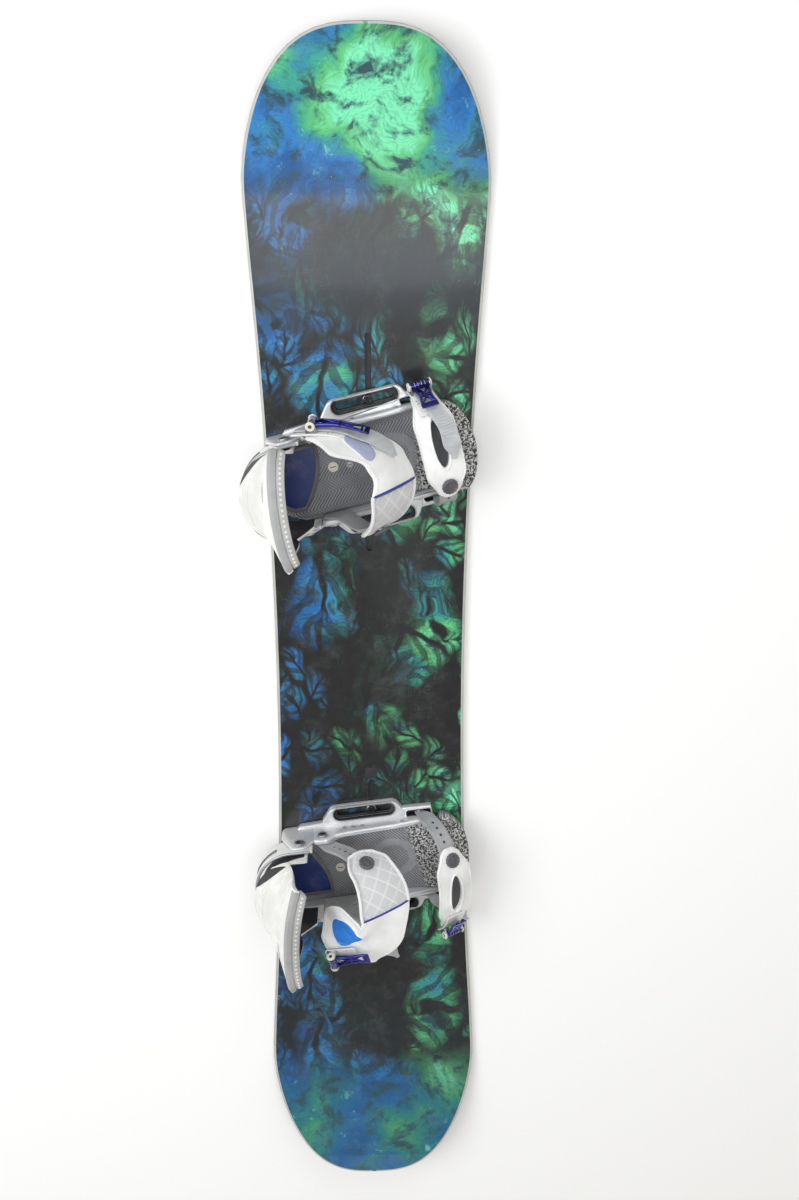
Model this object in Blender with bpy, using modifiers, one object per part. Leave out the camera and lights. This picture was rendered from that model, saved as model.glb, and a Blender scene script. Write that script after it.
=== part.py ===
"""A snowboard with a channel mount and two strap bindings.

Units are metres and +Z is up. The board lies flat on its running base at z = 0, with its nose at +Y
and its toe side at +X. The front binding has both straps closed, the rear one has them let out.
Inside a binding, x runs from heel to toe, y to the outer side of the foot, z up from the topsheet.
"""

import bisect
import math

import bmesh
import bpy
from mathutils import Matrix, Vector

# Clearances
GAP = 0.0003  # between pieces that touch
PIN_GAP = 0.0004  # round a pin or a screw

# Board outline
BOARD_LENGTH = 1.580
WIDEST = 0.300
WAIST = 0.252
WIDEST_AT = 0.600  # from the middle to the widest place
SHOULDER_BLEND = 0.006  # how softly the side runs into the tip
TIP_POWER = 1.933
TIP_ROUND = 2.797
TIP_RISE = 0.056
TIP_START = 0.580  # from the middle to where a tip starts to rise
TIP_STATIONS = 13
SIDE_STATIONS = 14

# Board layers
BASE_THICK = 0.0018
CORE_THICK = 0.0060
CORE_TIP_SHARE = 0.60  # of the core's thickness, left at a tip
CORE_THIN_FROM = 0.470
TOP_THICK = 0.0008
EDGE_WIDTH = 0.0022
CORE_INSET = 0.0006
TOP_INSET = 0.0012

# Channels in the board
CHANNEL_INNER = 0.164  # from the middle of the board to the near end of a slot
CHANNEL_LENGTH = 0.280
SLOT_WIDTH = 0.0076
CAVITY_WIDTH = 0.0152
INSERT_WALL = 0.0034
INSERT_LIP = 0.0012
INSERT_FLOOR = 0.0009
POCKET_FLOOR = 0.0008
NUT_WIDTH = 0.0142
NUT_LENGTH = 0.0200

# Mount screws
SCREW_SHANK = 0.0029
SCREW_HEAD = 0.0062
SCREW_HEAD_HIGH = 0.0040
SCREW_SOCKET = 0.0024

# Stance
FRONT_AT = 0.285
REAR_AT = -0.283
FRONT_ANGLE = 14.0
REAR_ANGLE = 7.0

# Base frame of a binding
FLOOR_TOP = 0.0050
FLOOR_HEEL = -0.118
FLOOR_TOE = 0.094
RAIL_INNER = 0.0520
RAIL_THICK = 0.0080
RAIL_REAR = -0.074
EAR_TOP = 0.0125
EAR_REACH = 0.0865
EAR_RIM = 0.0105  # from the slot's middle line out to the ear's edge
EAR_SLOT_AT = EAR_REACH - EAR_RIM
EAR_SLOT_LENGTH = 0.076
OUTER_SLOT_END = 0.052  # the slot's toe end, on the outer side of the binding
INNER_SLOT_END = 0.037
OUTER_SLOT_MIDDLE = OUTER_SLOT_END - EAR_SLOT_LENGTH / 2
INNER_SLOT_MIDDLE = INNER_SLOT_END - EAR_SLOT_LENGTH / 2
EAR_SLOT_WIDTH = 0.0096
RECESS_WIDTH = 0.0168
RECESS_DEPTH = 0.0062
CHEEK_REAR = -0.118
CHEEK_TOP = 0.063
TOE_SLOT_WIDTH = 0.0075
TOE_SLOT_REACH = 0.016  # from the toe pin to either end of the slot

# Heel hoop
HOOP_THICK = 0.0040
HOOP_TURN = -0.104  # where the arms turn into the bow
HOOP_BOW = 0.054
HOOP_LOW = 0.028
HOOP_HIGH = 0.066
HOOP_REAR_LOW = 0.034
HOOP_REAR_HIGH = 0.063

# Highback
PIVOT_X = -0.092
PIVOT_Z = 0.052
PIVOT_SHANK = 0.0035
PIVOT_HEAD = 0.0085
BACK_THICK = 0.0042
BACK_RIM = 0.0064
BACK_FOOT_X = -0.1495
BACK_FOOT_Z = 0.046
BACK_NECK_Z = 0.080  # below it the foot stays inside the hoop
BACK_HEEL_X = -0.1570
BACK_HEEL_Z = 0.094  # the heel bulge over the hoop
BACK_TOP_X = -0.1085
BACK_TOP_Z = 0.193
BACK_FOOT_HALF = 0.0489
BACK_HEEL_HALF = 0.0560
BACK_TOP_HALF = 0.0735
BACK_FOOT_DEPTH = 0.068
BACK_HEEL_DEPTH = 0.052
BACK_TOP_DEPTH = 0.009
BACK_SHIFT = 0.006  # of the top, to the outer side
FRONT_TWIST = 8.0  # of the top about the leg, in degrees, outer end toward the toe
REAR_TWIST = -10.0
PAD_THICK = 0.0085
PAD_GAP = 0.0007
LEAN_HALF = 0.0115
LEAN_HIGH = 0.0090

# Footbed
BED_HEEL = -0.136
BED_TOE = 0.1365
BED_THICK = 0.0085
BED_TOE_HALF = 0.0585
BED_RAMP = 0.0165
BED_TOE_SHIFT = -0.004
HEEL_PAD_THICK = 0.0036

# Ankle strap
ANKLE_X = -0.060
ANKLE_Z = 0.036
ANKLE_TILT = 46.0
ANKLE_OPEN_TILT = 34.0
ANKLE_OPEN_ROLL = 35.0  # of the arm, when it hangs loose
ANKLE_OPEN_LEAN = 0.70  # of its heel edge, back toward the slider
ANKLE_SIDE = 0.0635
ANKLE_HIGH = 0.114
ANKLE_OPEN_FROM = 0.080  # along the line to the strap's end, when let out
ANKLE_END_RISE = 0.050
ANKLE_LENGTH = 0.196
ANKLE_HALF = 0.0385
ARM_HALF = 0.0310
ANKLE_THICK = 0.0072
ANKLE_BOLT_SHANK = 0.0035
ANKLE_BOLT_HEAD = 0.0080

# Toe strap
TOE_X = 0.074
TOE_Z = 0.0075
TOE_TILT = 14.0
TOE_OPEN_TILT = 29.0
TOE_SIDE = 0.0665
TOE_HIGH = 0.068
TOE_OPEN_FROM = 0.080
TOE_END_RISE = 0.026
TOE_LENGTH = 0.142
TOE_HALF = 0.0260
TOE_THICK = 0.0060
TOE_STUD = 0.0026
TOE_WINDOW_FROM = 0.066
TOE_WINDOW_LONG = 0.028
TOE_WINDOW_HIGH = 0.0090

# Sliders, ladders, buckles and knobs
SLIDER_THICK = 0.0030
SLIDER_HALF = 0.0125
LADDER_THICK = 0.0025
LADDER_HALF = 0.0105
LEAF_HALF = 0.0150
KNOB_RADIUS = 0.0105
KNOB_HIGH = 0.0042
KNOB_STEM = 0.0026
PLATE_THICK = 0.0022
PLATE_BACK = 0.017
PLATE_FRONT = 0.024
CHEEK_WIDE = 0.0024
PIN_BACK = 0.0080  # from the middle of the buckle to its pin
PIN_RADIUS = 0.0021
LEVER_THICK = 0.0040
LEVER_OVER = 0.0020  # between the ladder and the lever
LEVER_CLEAR = 0.0035  # more of it at the lever's free end
LADDER_GAP = 0.0008
FLAT_LIFT = 0.0015  # of the flat buckle over the loose strap
LEVER_LONG = 0.044
LEVER_SHORT = 0.027

# Colours
WHITE = (0.82, 0.81, 0.77)
SILVER = (0.55, 0.56, 0.58)
STEEL = (0.45, 0.46, 0.48)
CHARCOAL = (0.05, 0.055, 0.06)
NAVY = (0.02, 0.03, 0.09)
GREY = (0.30, 0.30, 0.31)
CLEAR_GREY = (0.60, 0.61, 0.62)
BLUE = (0.10, 0.13, 0.50)
TEAL = (0.03, 0.32, 0.45)

RAIL_OUTER = RAIL_INNER + RAIL_THICK
CORE_LOW = BASE_THICK + GAP
TOP_LOW = CORE_LOW + CORE_THICK + GAP
BOARD_TOP = TOP_LOW + TOP_THICK
HALF_BOARD = BOARD_LENGTH / 2

ROOM = None  # the collection that holds the pieces


def soft_step(t):
    """0 to 1 with a level start and end."""
    t = min(1.0, max(0.0, t))
    return t * t * (3 - 2 * t)


def table(*stops):
    """A value that runs softly from stop to stop along a length."""

    def value(x):
        if x <= stops[0][0]:
            return stops[0][1]
        for (x0, y0), (x1, y1) in zip(stops, stops[1:]):
            if x <= x1:
                return y0 + (y1 - y0) * soft_step((x - x0) / (x1 - x0))
        return stops[-1][1]

    return value


def surface(name, colour, metallic=0.0, roughness=0.4):
    """A plain material for one piece."""
    material = bpy.data.materials.new(name)
    material.use_nodes = True
    shader = material.node_tree.nodes["Principled BSDF"]
    shader.inputs["Base Color"].default_value = (*colour, 1.0)
    shader.inputs["Metallic"].default_value = metallic
    shader.inputs["Roughness"].default_value = roughness
    material.diffuse_color = (*colour, 1.0)
    return material


def piece(name, mesh):
    """An object for a mesh, in the room of pieces."""
    made = bpy.data.objects.new(name, mesh)
    ROOM.objects.link(made)
    return made


def from_bmesh(name, bm):
    """An object from a closed bmesh, with its faces turned out."""
    bmesh.ops.remove_doubles(bm, verts=bm.verts[:], dist=1e-7)
    bmesh.ops.recalc_face_normals(bm, faces=bm.faces[:])
    mesh = bpy.data.meshes.new(name)
    bm.to_mesh(mesh)
    bm.free()
    return piece(name, mesh)


def bake(made):
    """Turn an object and its modifiers into a plain mesh."""
    bpy.context.view_layer.update()
    shape = made.evaluated_get(bpy.context.evaluated_depsgraph_get())
    mesh = bpy.data.meshes.new_from_object(shape)
    name = made.name
    bpy.data.objects.remove(made)
    bm = bmesh.new()
    bm.from_mesh(mesh)
    bpy.data.meshes.remove(mesh)
    return from_bmesh(name, bm)


def combine(made, other, operation):
    """Join another solid to this one, or cut it away."""
    name = made.name
    modifier = made.modifiers.new(operation.title(), "BOOLEAN")
    modifier.operation = operation
    modifier.solver = "EXACT"
    modifier.object = other
    made = bake(made)
    bpy.data.objects.remove(other)
    made.name = name
    return made


def join(made, other):
    return combine(made, other, "UNION")


def cut(made, other):
    return combine(made, other, "DIFFERENCE")


def bent_sheet(name, columns, rows, place):
    """A thick sheet bent to shape: place(p, q, outer) gives the point of each of its corners."""
    bm = bmesh.new()
    bmesh.ops.create_grid(bm, x_segments=columns, y_segments=rows, size=0.5)
    bmesh.ops.solidify(bm, geom=bm.faces[:], thickness=1.0)
    for corner in bm.verts:
        p, q, depth = corner.co + Vector((0.5, 0.5, 0.0))
        corner.co = place(p, q, depth > -0.5)
    return from_bmesh(name, bm)


def plate(name, outline, low, high):
    """A flat outline with thickness."""
    curve = bpy.data.curves.new(name, "CURVE")
    curve.dimensions = "2D"
    curve.fill_mode = "BOTH"
    curve.extrude = (high - low) / 2
    line = curve.splines.new("POLY")
    line.points.add(len(outline) - 1)
    for point, (x, y) in zip(line.points, outline):
        point.co = (x, y, 0.0, 1.0)
    line.use_cyclic_u = True
    made = bake(piece(name, curve))
    made.data.transform(Matrix.Translation((0, 0, (low + high) / 2)))
    return made


def side_plate(name, outline, low, high):
    """An outline of x and z, with thickness from low to high along y."""
    made = plate(name, outline, -high, -low)
    made.data.transform(Matrix.Rotation(math.pi / 2, 4, "X"))
    return made


def rounded(outline, radius, steps=2):
    """An outline with each corner turned on an arc."""
    points = [Vector(p) for p in outline]
    done = []
    for before, here, after in zip(points[-1:] + points[:-1], points, points[1:] + points[:1]):
        one = (before - here).normalized()
        two = (after - here).normalized()
        half = one.angle(two) / 2
        reach = min(radius / math.tan(half), 0.45 * (before - here).length, 0.45 * (after - here).length)
        turn = reach * math.tan(half)
        centre = here + (one + two).normalized() * (reach / math.cos(half))
        start = here + one * reach - centre
        finish = here + two * reach - centre
        for i in range(steps + 1):
            arm = start.lerp(finish, i / steps).normalized() * turn
            done.append(tuple(centre + arm))
    return done


def capsule(length, width, steps=4):
    """A slot's outline about the origin, long along y."""
    radius = width / 2
    line = []
    for end in (1, -1):
        for i in range(steps + 1):
            angle = math.pi * i / steps
            y = length / 2 - radius + radius * math.sin(angle)
            line.append((end * radius * math.cos(angle), end * y))
    return line


def moved(outline, dx, dy):
    return [(x + dx, y + dy) for x, y in outline]


def turned(name, profile, steps, frame):
    """A shape turned about z: a profile of radius and height from its top down."""
    mesh = bpy.data.meshes.new(name)
    points = [(radius, 0.0, height) for radius, height in profile]
    mesh.from_pydata(points, [(i, i + 1) for i in range(len(points) - 1)], [])
    made = piece(name, mesh)
    screw = made.modifiers.new("Turn", "SCREW")
    screw.steps = steps
    screw.render_steps = steps
    screw.use_merge_vertices = True
    screw.merge_threshold = 0.00001
    made = bake(made)
    made.data.transform(frame)
    return made


def rod(name, radius, low, high, steps, frame):
    return turned(name, [(0, high), (radius, high), (radius, low), (0, low)], steps, frame)


def along_y(x, z):
    """A frame whose z runs along +y through a place in the side view."""
    return Matrix.Translation((x, 0, z)) @ Matrix.Rotation(-math.pi / 2, 4, "X")


def finish(made, material, parent=None, origin=None):
    """Give a piece its material, its parent and its origin."""
    made.data.materials.clear()
    made.data.materials.append(material)
    if origin is not None:
        made.data.transform(Matrix.Translation(-Vector(origin)))
        made.location = origin
    made.parent = parent
    return made


def level_line(s):
    return 0.0


class Path:
    """A smooth line over the foot through points of side, rise and drift, walked by its length.

    Side and rise lie in a tilted plane through the hinge, and drift is square to that plane. A roll, in
    radians along the length, lets the heel edge of a loose band hang, and a lean folds it back.
    """

    def __init__(self, hinge, tilt, points, outward):
        self.hinge = hinge
        self.roll = level_line
        self.lean = level_line
        tilt = math.radians(tilt)
        self.up = Vector((math.sin(tilt), 0, math.cos(tilt)))
        self.across = Vector((math.cos(tilt), 0, -math.sin(tilt)))
        self.outward = outward
        line = [Vector((*p, 0.0)[:3]) for p in points]
        line = [line[0] * 2 - line[1]] + line + [line[-1] * 2 - line[-2]]
        self.samples = []
        for a, b, c, d in zip(line, line[1:], line[2:], line[3:]):
            for i in range(16):
                self.samples.append(self.between(a, b, c, d, i / 16))
        self.samples.append(line[-2])
        self.lengths = [0.0]
        for a, b in zip(self.samples, self.samples[1:]):
            self.lengths.append(self.lengths[-1] + (b - a).length)
        self.total = self.lengths[-1]

    @staticmethod
    def between(a, b, c, d, t):
        """A point from b to c on a curve through a, b, c and d, spaced by their distances."""
        k1 = max(1e-6, (b - a).length) ** 0.5
        k2 = k1 + max(1e-6, (c - b).length) ** 0.5
        k3 = k2 + max(1e-6, (d - c).length) ** 0.5
        k = k1 + (k2 - k1) * t
        ab = a * ((k1 - k) / k1) + b * (k / k1)
        bc = b * ((k2 - k) / (k2 - k1)) + c * ((k - k1) / (k2 - k1))
        cd = c * ((k3 - k) / (k3 - k2)) + d * ((k - k2) / (k3 - k2))
        abc = ab * ((k2 - k) / k2) + bc * (k / k2)
        bcd = bc * ((k3 - k) / (k3 - k1)) + cd * ((k - k1) / (k3 - k1))
        return abc * ((k2 - k) / (k2 - k1)) + bcd * ((k - k1) / (k2 - k1))

    def flat(self, s):
        """The place at a length, as side, rise and drift, and the way out there."""
        i = min(len(self.samples) - 2, max(0, bisect.bisect(self.lengths, s) - 1))
        share = (s - self.lengths[i]) / (self.lengths[i + 1] - self.lengths[i])
        here = self.samples[i].lerp(self.samples[i + 1], share)
        first = self.samples[max(i - 1, 0)].lerp(self.samples[i], share)
        last = self.samples[i + 1].lerp(self.samples[min(i + 2, len(self.samples) - 1)], share)
        way = (last - first).xy.normalized()
        return here, Vector((-way.y, way.x, 0)) * self.outward

    def lifted(self, s, lift):
        here, out = self.flat(s)
        return here + out * lift

    def point(self, s, drift, lift):
        turn = self.roll(s)
        here, out = self.flat(s + self.lean(s) * drift)
        here = here + out * (lift * math.cos(turn) + drift * math.sin(turn))
        here.z += drift * math.cos(turn) - lift * math.sin(turn)
        return self.hinge + self.up * here.y + Vector((0, here.x, 0)) + self.across * here.z

    def frame(self, s, drift, lift, back):
        """x along the line, or against it, z out."""
        step = 0.002
        here = self.point(s, drift(s), lift)
        along = self.point(s + step, drift(s + step), lift) - self.point(s - step, drift(s - step), lift)
        along = along.normalized() * (-1 if back else 1)
        out = (self.point(s, drift(s), lift + step) - here).normalized()
        along = (along - out * along.dot(out)).normalized()
        axes = Matrix((along, out.cross(along), out)).transposed().to_4x4()
        return Matrix.Translation(here) @ axes

    def falls_to(self, rise):
        """The last length at which the line comes down to a rise."""
        for i in range(len(self.samples) - 1, 0, -1):
            if self.samples[i].y <= rise <= self.samples[i - 1].y:
                return self.lengths[i]
        return self.total


def half_width(y):
    """Half the board's width at a distance from its middle."""
    reach = abs(y)
    side = WAIST / 2 + (WIDEST - WAIST) / 2 * (reach / WIDEST_AT) ** 2
    t = min(1.0, max(0.0, (reach - WIDEST_AT) / (HALF_BOARD - WIDEST_AT)))
    tip = WIDEST / 2 * (1 - t ** TIP_POWER) ** (1 / TIP_ROUND)
    near = max(SHOULDER_BLEND - abs(side - tip), 0.0) / SHOULDER_BLEND
    return min(side, tip) - near * near * SHOULDER_BLEND / 4


def rise(y):
    """How far a tip turns up at a place along the board."""
    t = max(0.0, (abs(y) - TIP_START) / (HALF_BOARD - TIP_START))
    return TIP_RISE * t * t


def outline_rows(inset):
    """Rows of place and half width along the board, moved in square to the outline."""
    line = [WIDEST_AT * (2 * i / SIDE_STATIONS - 1) for i in range(SIDE_STATIONS + 1)]
    tip = []
    for i in range(1, TIP_STATIONS + 1):
        share = math.cos(math.radians(88 * i / TIP_STATIONS))
        reach = (1 - share ** TIP_ROUND) ** (1 / TIP_POWER)
        tip.append(WIDEST_AT + (HALF_BOARD - WIDEST_AT) * reach)
    line = [-y for y in reversed(tip)] + line + tip
    rows = [Vector((y, half_width(y))) for y in line]
    ends = [Vector((rows[0].x, -rows[0].y))] + rows + [Vector((rows[-1].x, -rows[-1].y))]
    moved_in = []
    for before, here, after in zip(ends, rows, ends[2:]):
        way = (after - before).normalized()
        moved_in.append((here.x + way.y * inset, here.y - way.x * inset))
    return moved_in


def board_layer(name, inset, low, high):
    """A layer of the board between two heights over its base line."""
    rows = outline_rows(inset)

    def place(p, q, outer):
        y, half = rows[round(q * (len(rows) - 1))]
        level = high(y) if outer else low(y)
        return Vector(((2 * p - 1) * half, y, rise(y) + level))

    return bent_sheet(name, 1, len(rows) - 1, place)


def core_top(y):
    """The top of the core over the base line, thinner toward the tips."""
    thin = soft_step((abs(y) - CORE_THIN_FROM) / (HALF_BOARD - CORE_THIN_FROM))
    return CORE_LOW + CORE_THICK * (1 - (1 - CORE_TIP_SHARE) * thin)


def channel_plate(name, end, longer, width, low, high):
    """A long round-ended solid on the line of a channel."""
    middle = end * (CHANNEL_INNER + CHANNEL_LENGTH / 2)
    return plate(name, moved(capsule(CHANNEL_LENGTH + longer, width), 0, middle), low, high)


def make_board():
    """Base, steel edge, core with two channels, and topsheet."""
    base = board_layer("board_base", EDGE_WIDTH + GAP, lambda y: 0.0, lambda y: BASE_THICK)
    finish(base, surface("board_base", CHARCOAL, 0.0, 0.3))

    edge = board_layer("steel_edge", 0.0, lambda y: 0.0, lambda y: BASE_THICK)
    edge = cut(edge, board_layer("edge_space", EDGE_WIDTH, lambda y: -0.003, lambda y: BASE_THICK + 0.003))
    finish(edge, surface("steel_edge", STEEL, 1.0, 0.3))

    core = board_layer("board_core", CORE_INSET, lambda y: CORE_LOW, core_top)
    top = board_layer(
        "topsheet", TOP_INSET, lambda y: core_top(y) + GAP, lambda y: core_top(y) + GAP + TOP_THICK
    )
    pocket_low = CORE_LOW + POCKET_FLOOR
    insert_low = pocket_low + GAP
    insert_high = CORE_LOW + CORE_THICK
    insert_width = CAVITY_WIDTH + 2 * INSERT_WALL
    longer = insert_width - SLOT_WIDTH
    lip = insert_high - INSERT_LIP
    above = BOARD_TOP + 0.002
    for name, end in (("front_channel", 1), ("rear_channel", -1)):
        pocket = channel_plate("pocket", end, longer + 2 * GAP, insert_width + 2 * GAP, pocket_low, above)
        core = cut(core, pocket)
        top = cut(top, channel_plate("slot", end, 0, SLOT_WIDTH, CORE_LOW, above))
        insert = channel_plate(name, end, longer, insert_width, insert_low, insert_high)
        wider = CAVITY_WIDTH - SLOT_WIDTH
        cavity = channel_plate("cavity", end, wider, CAVITY_WIDTH, insert_low + INSERT_FLOOR, lip)
        slot = channel_plate("slot", end, 0, SLOT_WIDTH, lip - 0.001, above)
        insert = cut(insert, join(cavity, slot))
        finish(insert, surface(name, CHARCOAL, 0.0, 0.5))
    finish(core, surface("board_core", CHARCOAL, 0.0, 0.5))
    finish(top, surface("topsheet", TEAL, 0.0, 0.25))


def make_mounts(label, binding_at, angle):
    """Two screws and two channel nuts that hold a binding."""
    reach = EAR_SLOT_AT / math.cos(math.radians(angle))
    nut_low = CORE_LOW + POCKET_FLOOR + GAP + INSERT_FLOOR + GAP
    nut_high = CORE_LOW + CORE_THICK - INSERT_LIP - GAP
    head_low = BOARD_TOP + EAR_TOP - RECESS_DEPTH + GAP
    head_high = head_low + SCREW_HEAD_HIGH
    for place, way in (("nose", 1), ("tail", -1)):
        spot = Vector((0, binding_at + way * reach, 0))
        profile = [
            (0, head_high - 0.0022),
            (SCREW_SOCKET, head_high - 0.0022),
            (SCREW_SOCKET, head_high),
            (SCREW_HEAD - 0.0008, head_high),
            (SCREW_HEAD, head_high - 0.0008),
            (SCREW_HEAD, head_low),
            (SCREW_SHANK, head_low),
            (SCREW_SHANK, nut_low),
            (0, nut_low),
        ]
        screw = turned(f"{label}_mount_screw_{place}", profile, 12, Matrix())
        finish(screw, surface(screw.name, STEEL, 1.0, 0.35))
        screw.location = spot
        half_x = NUT_WIDTH / 2
        half_y = NUT_LENGTH / 2
        corners = [(half_x, half_y), (-half_x, half_y), (-half_x, -half_y), (half_x, -half_y)]
        nut = plate(f"{label}_channel_nut_{place}", corners, nut_low, nut_high)
        bore = rod("bore", SCREW_SHANK + PIN_GAP, nut_low - 0.001, nut_high + 0.001, 16, Matrix())
        nut = cut(nut, bore)
        finish(nut, surface(nut.name, STEEL, 1.0, 0.4))
        nut.location = spot


def make_base(label, root):
    """Floor, rails, slotted ears and toe slots, moulded as one frame."""
    floor = [
        (FLOOR_HEEL, RAIL_OUTER - 0.003),
        (FLOOR_HEEL, -RAIL_OUTER + 0.003),
        (FLOOR_TOE - 0.0005, -RAIL_OUTER + 0.003),
        (FLOOR_TOE - 0.0005, RAIL_OUTER - 0.003),
    ]
    base = plate(f"{label}_base_frame", rounded(floor, 0.030, 4), GAP, FLOOR_TOP)
    middle = [(-0.064, 0.036), (-0.064, -0.036), (0.060, -0.036), (0.060, 0.036)]
    base = cut(base, plate("middle", rounded(middle, 0.014), 0, FLOOR_TOP + 0.001))

    rail = [
        (FLOOR_TOE, GAP),
        (FLOOR_TOE, TOE_Z + 0.010),
        (TOE_X + 0.006, TOE_Z + 0.015),
        (0.040, 0.029),
        (0.000, 0.032),
        (-0.028, 0.034),
        (ANKLE_X + 0.016, ANKLE_Z + 0.002),
        (ANKLE_X + 0.006, ANKLE_Z + 0.012),
        (RAIL_REAR, ANKLE_Z + 0.012),
        (RAIL_REAR, GAP),
    ]
    cheek = [
        (RAIL_REAR + 0.002, GAP),
        (RAIL_REAR + 0.002, ANKLE_Z + 0.010),
        (PIVOT_X + 0.008, CHEEK_TOP),
        (PIVOT_X - 0.010, CHEEK_TOP),
        (CHEEK_REAR, 0.030),
        (CHEEK_REAR, GAP),
    ]
    flange = [
        (CHEEK_REAR + 0.018, RAIL_OUTER - 0.003),
        (CHEEK_REAR + 0.026, RAIL_OUTER + 0.005),
        (-0.050, RAIL_OUTER + 0.009),
        (0.040, RAIL_OUTER + 0.0150),
        (FLOOR_TOE - 0.002, RAIL_OUTER + 0.0130),
        (FLOOR_TOE - 0.001, RAIL_OUTER - 0.003),
    ]
    toe_slot = [
        (TOE_X - TOE_SLOT_REACH, RAIL_OUTER + 0.0005),
        (TOE_X + TOE_SLOT_REACH, RAIL_OUTER + 0.0005),
        (TOE_X + TOE_SLOT_REACH, RAIL_OUTER + TOE_SLOT_WIDTH),
        (TOE_X - TOE_SLOT_REACH, RAIL_OUTER + TOE_SLOT_WIDTH),
    ]
    cheek_low = RAIL_INNER + HOOP_THICK + GAP
    mirror = Matrix.Scale(-1, 4, (0, 1, 0))
    for way, slot_middle in ((1, OUTER_SLOT_MIDDLE), (-1, INNER_SLOT_MIDDLE)):
        first = slot_middle - EAR_SLOT_LENGTH / 2
        last = slot_middle + EAR_SLOT_LENGTH / 2
        ear = [
            (first - 0.030, RAIL_OUTER - 0.003),
            (first - 0.007, EAR_REACH),
            (last + 0.007, EAR_REACH),
            (last + 0.024, RAIL_OUTER - 0.003),
        ]
        shelves = [
            plate("flange", rounded(flange, 0.006), GAP, EAR_TOP - 0.0010),
            plate("ear", rounded(ear, 0.013, 4), GAP, EAR_TOP),
        ]
        solids = [
            side_plate("rail", rounded(rail, 0.006), RAIL_INNER, RAIL_OUTER),
            side_plate("cheek", rounded(cheek, 0.009), cheek_low, RAIL_OUTER),
        ]
        for shelf in shelves:
            solids.append(cut(shelf, plate("toe_slot", rounded(toe_slot, 0.002), 0, EAR_TOP + 0.001)))
        slot = moved(capsule(EAR_SLOT_LENGTH, EAR_SLOT_WIDTH), -EAR_SLOT_AT, slot_middle)
        recess_long = EAR_SLOT_LENGTH + RECESS_WIDTH - EAR_SLOT_WIDTH
        recess = moved(capsule(recess_long, RECESS_WIDTH), -EAR_SLOT_AT, slot_middle)
        spaces = [
            plate("slot", [(y, -x) for x, y in slot], 0, EAR_TOP + 0.001),
            plate("recess", [(y, -x) for x, y in recess], EAR_TOP - RECESS_DEPTH, EAR_TOP + 0.001),
        ]
        bores = (
            ("stud", TOE_STUD, TOE_X, TOE_Z),
            ("bolt", ANKLE_BOLT_SHANK, ANKLE_X, ANKLE_Z),
            ("pivot", PIVOT_SHANK, PIVOT_X, PIVOT_Z),
        )
        for name, shank, x, z in bores:
            spaces.append(rod(name, shank + PIN_GAP, RAIL_INNER - 0.01, EAR_REACH, 12, along_y(x, z)))
        for solid in solids + spaces:
            if way < 0:
                solid.data.transform(mirror)
                solid.data.flip_normals()
        for solid in solids:
            base = join(base, solid)
        for space in spaces:
            base = cut(base, space)
    return finish(base, surface(base.name, WHITE, 0.0, 0.25), root)


def hoop_place(share, offset):
    """A point of the hoop's plan, from one arm's end round to the other's."""
    straight = HOOP_TURN - (RAIL_REAR - 0.0006)
    half = RAIL_INNER + HOOP_THICK / 2
    bow = math.pi * math.sqrt((half * half + HOOP_BOW * HOOP_BOW) / 2)
    walk = share * (2 * abs(straight) + bow)
    if walk < abs(straight):
        return Vector((RAIL_REAR - 0.0006 - walk, half + offset))
    if walk > abs(straight) + bow:
        return Vector((HOOP_TURN + walk - abs(straight) - bow, -half - offset))
    angle = (walk - abs(straight)) / bow * math.pi
    return Vector((HOOP_TURN - (HOOP_BOW + offset) * math.sin(angle), (half + offset) * math.cos(angle)))


def hoop_band(name, first, last, low, high, thick, rows):
    """A stretch of the hoop between two shares of its own height."""

    def place(p, q, outer):
        share = first + (last - first) * q
        at = hoop_place(share, thick / 2 if outer else -thick / 2)
        back = soft_step((HOOP_TURN + 0.016 - hoop_place(share, 0).x) / 0.060)
        bottom = HOOP_LOW + (HOOP_REAR_LOW - HOOP_LOW) * back
        top = HOOP_HIGH + (HOOP_REAR_HIGH - HOOP_HIGH) * back
        return Vector((at.x, at.y, bottom + (top - bottom) * (low + (high - low) * p)))

    return bent_sheet(name, 2, rows, place)


def make_hoop(label, root):
    """The bow round the heel, with a long slot on either side."""
    hoop = hoop_band(f"{label}_heel_hoop", 0.0, 1.0, 0.0, 1.0, HOOP_THICK, 22)
    for first in (0.22, 0.60):
        hoop = cut(hoop, hoop_band("slot", first, first + 0.18, 0.40, 0.62, 0.014, 6))
    through = rod("pivot", PIVOT_SHANK + PIN_GAP, -EAR_REACH, EAR_REACH, 12, along_y(PIVOT_X, PIVOT_Z))
    hoop = cut(hoop, through)
    return finish(hoop, surface(hoop.name, WHITE, 0.0, 0.25), root)


def stepped(*stops):
    """A value that runs straight from stop to stop."""

    def value(x):
        if x <= stops[0][0]:
            return stops[0][1]
        for (x0, y0), (x1, y1) in zip(stops, stops[1:]):
            if x <= x1:
                return y0 + (y1 - y0) * (x - x0) / (x1 - x0)
        return stops[-1][1]

    return value


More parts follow.
